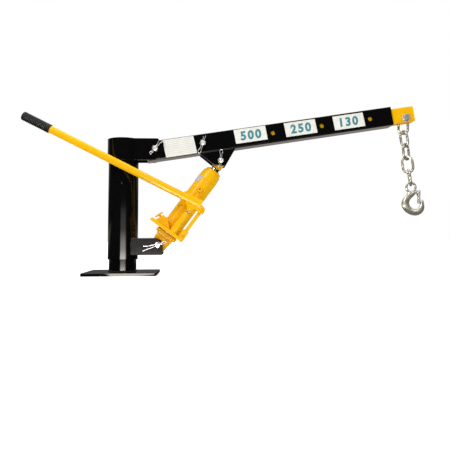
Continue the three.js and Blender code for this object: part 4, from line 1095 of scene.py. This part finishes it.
def build_jack():
    cast("jack_foot", jack_place)
    cast("jack_base", jack_place)
    for number in range(1, 5):
        machined(f"foot_screw_{number}", edge=0.3 * MM, place=jack_place)
    inner, outer, low, high = turning("jack_reservoir", jack_place)
    lip = 1.1 * MM
    corners = [
        [inner, low], [outer, low, 0.5 * MM], [outer, low + 3 * lip, 0.5 * MM],
        [outer - 0.4 * MM, low + 4 * lip, 0.3 * MM], [outer - 0.4 * MM, high - 4 * lip, 0.3 * MM],
        [outer, high - 3 * lip, 0.3 * MM], [outer, high, 0.5 * MM], [inner, high],
    ]
    stand_in("jack_reservoir", turned(corners, jack_place, segments=128))
    machined("pressure_cylinder", edge=0.5 * MM, place=jack_place)
    machined("jack_cap", edge=0.8 * MM, place=jack_place)
    build_filler_plug()
    build_ram_seal()
    machined("pump_cylinder", edge=0.6 * MM, place=jack_place)
    inner, outer, low, high = turning("ram", jack_place)
    stand_in("ram", turned([[0, low], [outer, low, MM], [outer, high, MM], [0, high]], jack_place))
    cast("ram_head", jack_place, voxel=FORGED_VOXEL)
    cast("release_valve", valve_place, voxel=0.4 * MM, passes=3)
    build_reservoir_label()


def build_filler_plug():
    """Raised plug with a dished face and, in the middle, a dark disc painted in as the shade of its vent hole."""
    place = crosswise("filler_plug")
    outer, low, high = turning("filler_plug", place)[1:]
    dish = 1.2 * MM
    floor = low + dish
    corners = [
        [0, floor], [0.5 * outer, floor, 0.6 * MM], [0.66 * outer, low, 0.5 * MM],
        [0.8 * outer, low, 0.5 * MM], [outer, low + 2 * dish, 0.8 * MM], [outer, high], [0, high],
    ]
    stand_in("filler_plug", turned(corners, place, segments=48))
    # Dark disc standing for the shade inside the vent hole, not a hole.
    vent = 0.24 * outer
    raised, seated = floor - 0.5 * dish, floor - TINY
    corners = [[0, raised], [vent, raised, 0.3 * MM], [vent, seated], [0, seated]]
    settle("filler_plug_vent_shade", turned(corners, place, segments=24), body_of["filler_plug"], "rubber")


def build_ram_seal():
    """Dark wiper ring where the ram leaves the cap, wide enough for the ram's lean as the boom rises."""
    cap_top = turning("jack_cap", jack_place)[3]
    head_low = turning("ram_head", jack_place)[2]
    ram_radius = turning("ram", jack_place)[1]
    inner, outer = ram_radius + SEAL_BORE, ram_radius + SEAL_REACH
    tall = min(0.35 * (head_low - cap_top), SEAL_HEIGHT)
    low = cap_top + TINY
    corners = [[inner, low], [outer, low], [outer, low + tall, 0.8 * MM], [inner, low + tall, 0.4 * MM]]
    settle("ram_seal", turned(corners, jack_place, segments=64), body_of["jack_cap"], "rubber")


def build_reservoir_label():
    """Bare silver label curved round the reservoir's left side."""
    outer, low = turning("jack_reservoir", jack_place)[1:3]
    radius = outer + LABEL_GAP
    heights = [low + share for share in SILVER_LABEL_RISE]
    angles = np.radians(np.linspace(*SILVER_LABEL_TURN, 17))
    points, faces = [], []
    for out in (radius, radius + SKIN):
        for height in heights:
            points += [(out * math.cos(a), out * math.sin(a), height) for a in angles]
    count = len(angles)
    rows = [(0, 1), (3, 2), (2, 0), (1, 3)]
    for first, second in rows:
        for i in range(count - 1):
            a, b = first * count + i, second * count + i
            faces.append([a, a + 1, b + 1, b])
    for i in (0, count - 1):
        faces.append([i, count + i, 3 * count + i, 2 * count + i])
    mesh = closed_mesh(points, faces, jack_place)
    settle("reservoir_label", mesh, "jack", "yellow_enamel", material=silver_vinyl)


# Pump, link, socket and handle
GRIP_RIBS = 14
GRIP_GROOVE = 0.9 * MM


def build_pump():
    machined("pump_plunger", edge=0.5 * MM, place=jack_place)
    machined("pump_link", edge=1.4 * MM, place=jack_place)
    machined("handle_socket", edge=0.7 * MM, place=lever_place)
    for node in ("link_foot_rivet", "socket_rivet", "plunger_rivet"):
        dome_rivet(node, shank=4 * MM, deep=2.4 * MM)
    machined("clamp_screw", edge=0.4 * MM, place=lever_place)
    low, high = spans("handle_tube", lever_place)
    axis = Matrix.Translation((0, 0, (low.z + high.z) / 2))
    along = lever_place @ axis @ TURN_TO_X
    inner, outer, start, end = turning("handle_tube", along)
    edge = 0.7 * MM
    corners = [[inner, start, edge], [outer, start, edge], [outer, end, edge], [inner, end, edge]]
    stand_in("handle_tube", turned(corners, along, segments=64))
    build_grip(along, outer)


def build_grip(along, tube):
    """Rubber grip with finger ribs, a rounded mouth and a domed end."""
    outer, start, end = turning("grip", along)[1:]
    bore = tube + 0.3 * MM
    cap = 3 * MM
    closed = start + cap
    corners = [[0, start], [outer - cap, start, 1.5 * MM], [outer, closed, 1.5 * MM]]
    first, last = closed + 8 * MM, end - 14 * MM
    pitch = (last - first) / GRIP_RIBS
    floor, rounding = outer - GRIP_GROOVE, 0.3 * MM
    for i in range(GRIP_RIBS):
        z = first + i * pitch
        corners += [[outer, z, rounding], [floor, z + 0.2 * pitch, rounding]]
        corners += [[floor, z + 0.5 * pitch, rounding], [outer, z + 0.7 * pitch, rounding]]
    corners += [[outer, end, 0.8 * MM], [bore, end, 0.4 * MM], [bore, closed], [0, closed]]
    stand_in("grip", turned(corners, along, segments=72))


make_camera()
make_floor()
make_world()
make_lamps()
bpy.context.scene.view_settings.view_transform = "Standard"

build_base()
build_mast()
boom_tilt = math.atan2(boom_place[2][0], boom_place[0][0])
build_pin("boom_pin", 0)
build_pin("lower_jack_pin", 0)
build_pin("lock_pin", boom_tilt)
build_pin("upper_jack_pin", boom_tilt)
build_boom()
build_load_bolt()
build_chain()
build_hook()
build_jack()
build_pump()

# Nodes that no piece stands for are shown in their own finish
for name, node in nodes.items():
    if not node.hide_render:
        node.data.materials.clear()
        node.data.materials.append(finishes[slot_of[name]])
